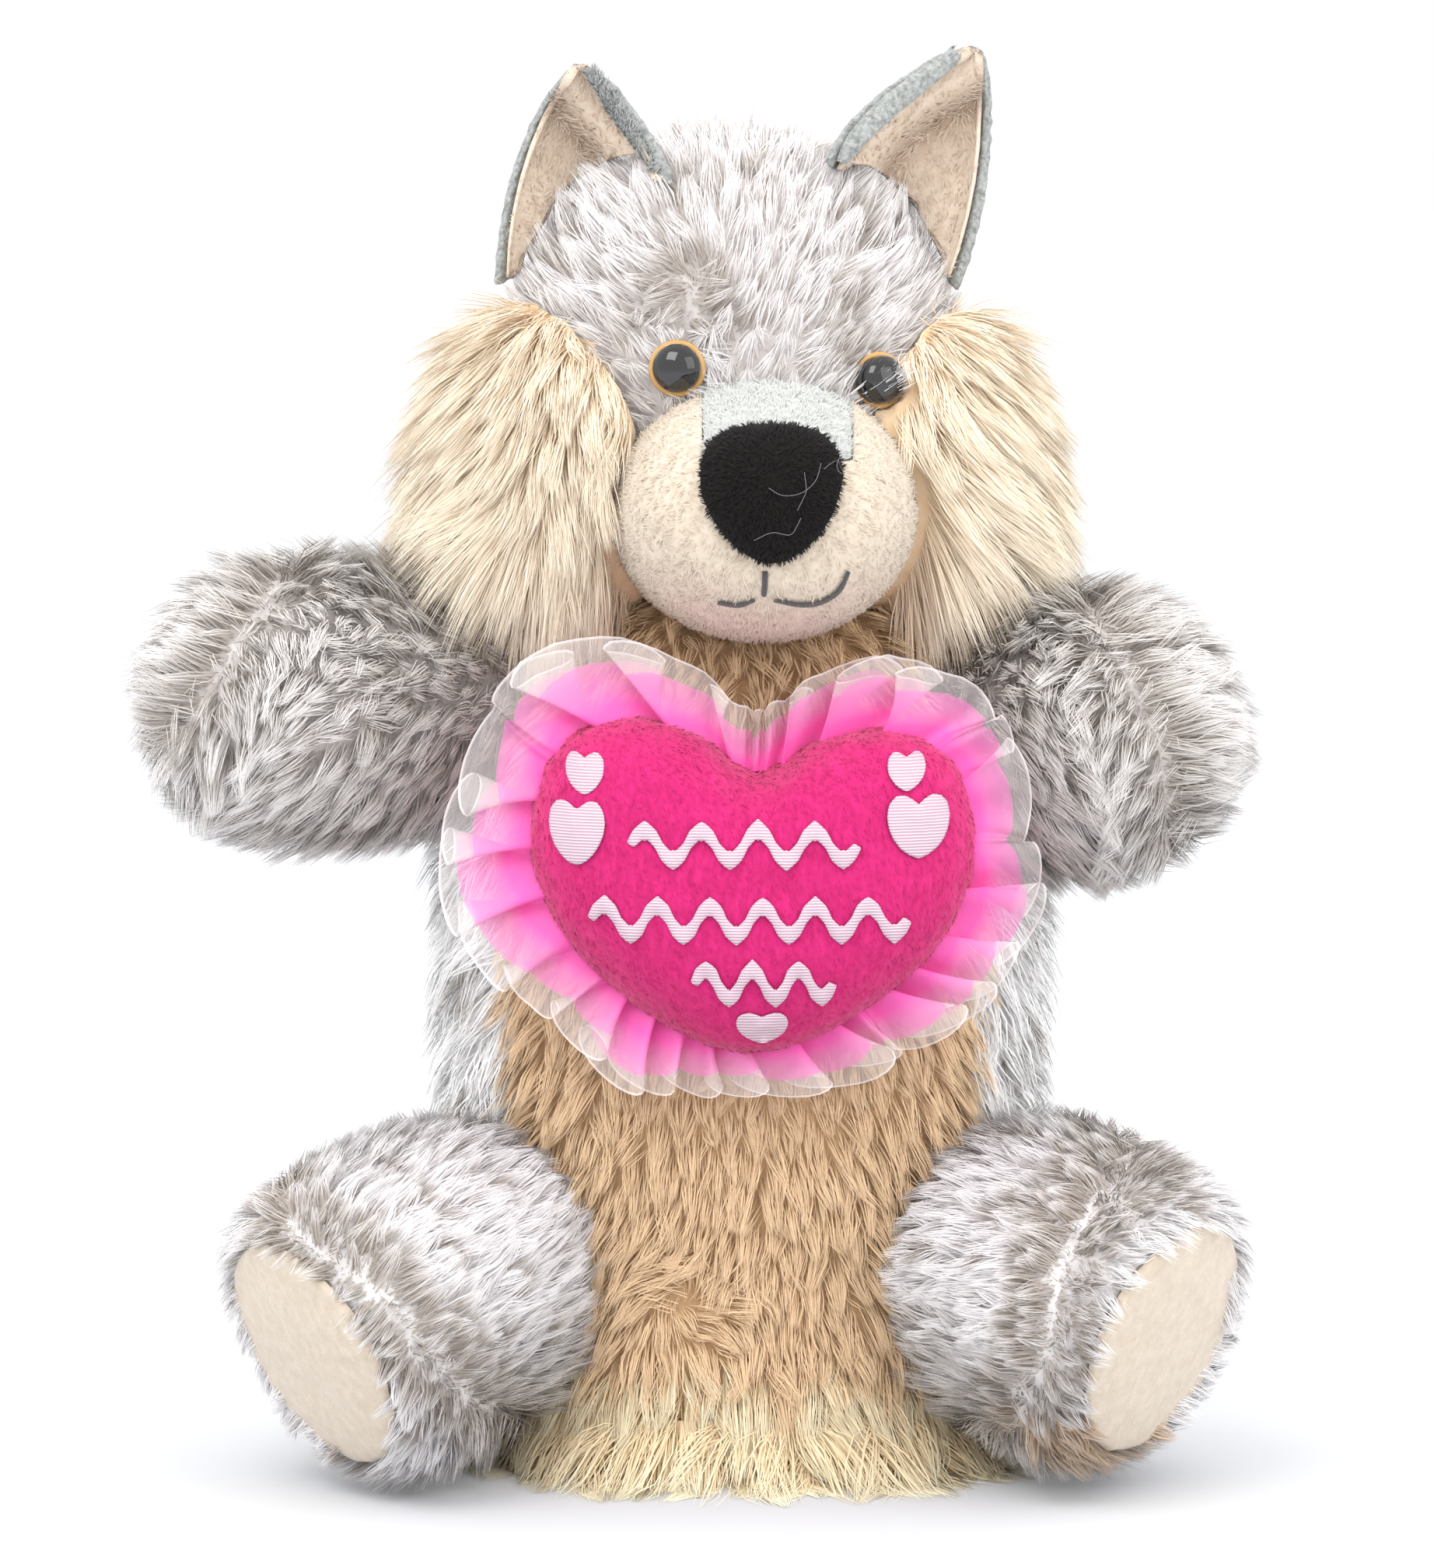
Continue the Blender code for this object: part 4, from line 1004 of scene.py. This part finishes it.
def heart():
    centre = middle("heart_front") * (1, 0, 1) + np.array((0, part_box("heart_back")[1][1], 0))
    outward = from_centre(centre)
    minky = cloth_material("pink_minky", [(0.50, 0.010, 0.125), (0.66, 0.020, 0.185)], 560, 0.35,
                           reach=0.35, sheen=0.25, stretch=(1.5, 1, 0.45), turn=35)

    def puckers(points, normals):
        """Gathers that fade from the seam to the crown."""
        offset = points - centre
        angle = np.arctan2(offset[:, 2], offset[:, 0])
        rim = np.exp(-((-offset[:, 1]) / (5 * MM)).clip(0, None))
        ripple = np.sin(angle * 23 + 2 * np.sin(angle * 5)) * (0.6 + 0.4 * np.sin(angle * 3 + 1))
        soft = 0.45 * MM * waves(points, 26 * MM, 91)
        return normals * (0.3 * MM * rim * ripple + soft)[:, None]

    front = dress("heart_front", "heart_front_cloth", minky, "pink_minky", 2, puckers)
    back = dress("heart_back", "heart_back_cloth", minky, "pink_minky", 1)
    crown_of = tree_of(front)

    def height(x, z):
        hit = crown_of.ray_cast(Vector((x, -1, z)), Vector((0, 1, 0)))[0]
        return hit.y if hit is not None else None

    def raised(points, rise):
        """Up the front of the cushion, keeping to its surface."""
        moved = np.tile((0.0, 0.0, rise * MM), (len(points), 1))
        for i, (x, _, z) in enumerate(points):
            old, new = height(x, z), height(x, z + rise * MM)
            if old is not None and new is not None:
                moved[i, 1] = new - old
        return moved

    # The second colour is the painted shade between the satin threads.
    white = satin_material("satin_stitch", (0.70, 0.63, 0.68), (0.56, 0.315, 0.4216), 0.62 * MM)
    patches = []
    for node in frame["nodes"]:
        if node.endswith(("garland", "_heart")):
            rise = 3.4 if node.endswith("garland") else 2.6
            patches.append(dress(node, f"{node}_stitches", white, "thread", 1,
                                 lambda p, n, rise=rise: raised(p, rise)))
    near = tree_of(*patches)
    grow("heart_nap", front, "pink_minky", 11000,
         [((0.56, 0.014, 0.15), (0.66, 0.022, 0.19))],
         steady((0.5, 0, -1.0)), length=1.1, lift=(30, 8), width=0.2, lock=3, clump=0.2,
         swirl=12, seed=92,
         outward=outward, away_from=near, clearance=0.2, spread=0.03, stray=0.2)


def ruffle():
    """The gathered organza strip, pink inside and clear at its edge, in uneven pleats."""
    low, high = (np.array(corner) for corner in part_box("heart_ruffle"))
    points = points_of(frame["nodes"]["heart_ruffle"])
    centre = (low + high) / 2
    angles = np.arctan2(points[:, 2] - centre[2], points[:, 0] - centre[0])
    radii = np.hypot(points[:, 2] - centre[2], points[:, 0] - centre[0])
    bins = np.linspace(-math.pi, math.pi, 89)
    which = np.digitize(angles, bins)
    held = [i for i in range(1, len(bins)) if (which == i).any()]
    mids = np.array([(bins[i - 1] + bins[i]) / 2 for i in held])
    seam_radii = np.array([radii[which == i].min() for i in held])
    edge_radii = np.array([radii[which == i].max() for i in held])
    seam_radii, edge_radii = (np.median([np.roll(values, k) for k in range(-3, 4)], 0)
                              for values in (seam_radii, edge_radii))

    pleats, steps, rows = 29, 20, 15
    rng = np.random.default_rng(95)
    width = rng.uniform(0.45, 1.55, pleats)
    width = width / width.sum() * 2 * math.pi
    start = np.concatenate([[0], np.cumsum(width)[:-1]]) - math.pi
    share = np.tile(np.arange(steps) / steps, pleats)
    strength = np.repeat(rng.uniform(0.25, 1.9, pleats), steps)
    tilt = np.repeat(rng.uniform(-1, 1, pleats), steps)
    reach = np.repeat(rng.uniform(-1, 1, pleats), steps)
    around = pleats * steps
    base = np.repeat(start, steps) + np.repeat(width, steps) * share
    lower = (-np.sin(base)).clip(0, 1)
    strength = strength * (1 + 0.5 * lower)
    cycle = 2 * math.pi * share
    smooth = np.ones(15) / 15

    def eased(values):
        return np.convolve(np.concatenate([values[-7:], values, values[:7]]), smooth, "valid")

    reach, tilt, strength = eased(reach), eased(tilt), eased(strength)
    trim = (-3.2 * np.cos(base).clip(0, 1) + 1.2 * (-np.cos(base)).clip(0, 1)
            - 4.2 * lower - 3.0 * np.sin(base).clip(0, 1))
    grid, marks = [], []
    for v in np.linspace(0, 1, rows):
        fold = (0.10 + 0.30 * v) * strength
        turned = base + np.repeat(width, steps) * fold * np.sin(cycle) + 0.06 * tilt * v ** 1.5
        inner = np.interp(turned, mids, seam_radii, period=2 * math.pi)
        outer = np.interp(turned, mids, edge_radii, period=2 * math.pi) + trim * MM
        outer = outer + (2.4 * reach + 1.7 * np.sin(cycle + 1.2) * strength) * MM
        radius = inner + v * (outer - inner)
        ripple = np.sin(cycle) * strength * (0.35 + 0.65 * v) + 0.3 * v * np.sin(3 * cycle + base)
        back = centre[1] - (0.6 + 1.6 * v + 3.0 * ripple) * MM
        grid.append(np.stack([centre[0] + radius * np.cos(turned), back,
                              centre[2] + radius * np.sin(turned)], 1))
        border = 0.66 + 0.16 * reach + 0.15 * np.abs((share + 0.3) % 1 * 2 - 1)
        marks.append(np.stack([v - border + 0.5, np.full(around, v)], 1))
    grid = np.array(grid)
    faces = net(rows, around, True)

    material, tree, sockets = node_material("organza", 0.4, 0.1, 0.3)
    mark = add(tree, "VertexColor", layer_name="Weave").outputs["Color"]
    split = add(tree, "SeparateColor", {"Color": mark}).outputs
    tint = ramp(tree, split["Red"], (0, (0.92, 0.13, 0.50)), (0.20, (0.92, 0.25, 0.59)),
                (0.49, (0.93, 0.35, 0.65)), (0.505, (0.90, 0.83, 0.82)),
                (0.80, (0.90, 0.85, 0.84)), (1, (0.93, 0.89, 0.88)))
    cover = ramp(tree, split["Red"], *((place, (value,) * 3) for place, value in (
        (0, 0.95), (0.22, 0.72), (0.49, 0.58), (0.505, 0.26), (1, 0.26))))
    rim = add(tree, "MapRange", {"Value": split["Green"]},
              {"From Min": 0.965, "From Max": 0.985, "To Max": 0.35}).outputs["Result"]
    total = add(tree, "Math", {0: cover, 1: rim}, operation="ADD").outputs[0]
    tree.links.new(tint, sockets["Base Color"])
    tree.links.new(total, sockets["Alpha"])

    strip = new_mesh("heart_ruffle_organza", grid.reshape(-1, 3), faces, material)
    paint(strip.data, "Weave", np.column_stack([np.concatenate(marks), np.zeros(rows * around),
                                                np.ones(rows * around)]))
    layer = strip.data.uv_layers.new(name="OFBake")
    uvs = [place for r in range(rows - 1) for c in range(around)
           for dr, dc in ((0, 0), (0, 1), (1, 1), (1, 0))
           for place in ((c + dc) / around, (r + dr) / (rows - 1))]
    layer.data.foreach_set("uv", uvs)
    show(strip, "pink_organza", "heart_ruffle")


def inside():
    """Plain finishes for the pieces that the plush covers."""
    tricot = cloth_material("tricot_lining", [(0.66, 0.66, 0.65), (0.80, 0.80, 0.79)], 1400, 0.7,
                            stretch=(1, 1, 2.5))
    plastic = plain_material("white_washer", (0.80, 0.80, 0.78), 0.5, 0, 0.4)
    for node, material, slot in (("finger_pocket", tricot, "tricot"),
                                 ("muzzle_stuffing", FILL, "fibrefill"),
                                 ("heart_stuffing", FILL, "fibrefill"),
                                 ("left_eye_washer", plastic, "white_plastic"),
                                 ("right_eye_washer", plastic, "white_plastic")):
        dress(node, f"{node}_finish", material, slot)


# Floor, light and camera

def rays(tree):
    """1 for camera, glossy and transmission rays."""
    path = add(tree, "LightPath").outputs
    seen = add(tree, "Math", {0: path["Is Camera Ray"], 1: path["Is Glossy Ray"]},
               operation="MAXIMUM").outputs[0]
    return add(tree, "Math", {0: seen, 1: path["Is Transmission Ray"]},
               operation="MAXIMUM").outputs[0]


def studio():
    world = bpy.data.worlds.new("studio")
    bpy.context.scene.world = world
    world.use_nodes = True
    tree = world.node_tree
    soft = tree.nodes["Background"]
    soft.inputs["Color"].default_value = (1, 1, 1, 1)
    soft.inputs["Strength"].default_value = 1.62
    white = add(tree, "Background", (), {"Color": (1, 1, 1, 1), "Strength": 1})
    mix = add(tree, "MixShader", {"Fac": rays(tree), 1: soft.outputs["Background"],
                                  2: white.outputs["Background"]})
    tree.links.new(mix.outputs["Shader"], tree.nodes["World Output"].inputs["Surface"])

    floor_material, tree, sockets = node_material("floor", 0.9, 0, 0.0)
    sockets["Base Color"].default_value = (0.60, 0.61, 0.635, 1)
    lit = tree.nodes["Principled BSDF"].outputs["BSDF"]
    glow = add(tree, "Emission", (), {"Color": (1, 1, 1, 1), "Strength": 0.11})
    both = add(tree, "AddShader", {0: lit, 1: glow.outputs["Emission"]})
    mix = add(tree, "MixShader", {"Fac": rays(tree), 1: lit, 2: both.outputs["Shader"]})
    tree.links.new(mix.outputs["Shader"], tree.nodes["Material Output"].inputs["Surface"])
    reach = 12.0
    floor = new_mesh("floor", [(-reach, -reach, 0), (reach, -reach, 0), (reach, reach, 0),
                               (-reach, reach, 0)], [(0, 1, 2, 3)], floor_material, False)

    for name, place, energy, size in (("key", (-0.5, -0.9, 1.3), 7, 0.8),
                                      ("fill", (0.9, -0.8, 0.7), 3, 0.9)):
        lamp = bpy.data.objects.new(name, bpy.data.lights.new(name, "AREA"))
        lamp.data.energy, lamp.data.size = energy, size
        lamp.location = place
        lamp.rotation_euler = (Vector((0, 0, 0.14)) - lamp.location).to_track_quat(
            "-Z", "Y").to_euler()
        bpy.context.scene.collection.objects.link(lamp)

    camera = bpy.data.objects.new("camera", bpy.data.cameras.new("camera"))
    camera.data.sensor_fit = "VERTICAL"
    camera.data.sensor_height = 36
    camera.data.lens = 36 * CAMERA_REACH / (PHOTO_SIZE[1] / PHOTO_PER_MM * MM)
    target = Vector((PHOTO_CENTRE[0], PHOTO_PLANE_Y, PHOTO_CENTRE[1]))
    back = Vector((0, -math.cos(CAMERA_RISE), math.sin(CAMERA_RISE)))
    camera.location = target + CAMERA_REACH * back
    camera.rotation_euler = (-back).to_track_quat("-Z", "Y").to_euler()
    camera.data.clip_start, camera.data.clip_end = 0.05, 50
    bpy.context.scene.collection.objects.link(camera)
    bpy.context.scene.camera = camera
    bpy.context.scene.view_settings.view_transform = "Standard"


def both(build):
    """Builds a part for the viewer's left side and for the right."""
    for number, side in enumerate(SIDES):
        build(number, side)


crown()
both(cheek)
both(arm)
both(leg)
body()
face()
eyes()
both(ear)
soles()
heart()
ruffle()
inside()
studio()
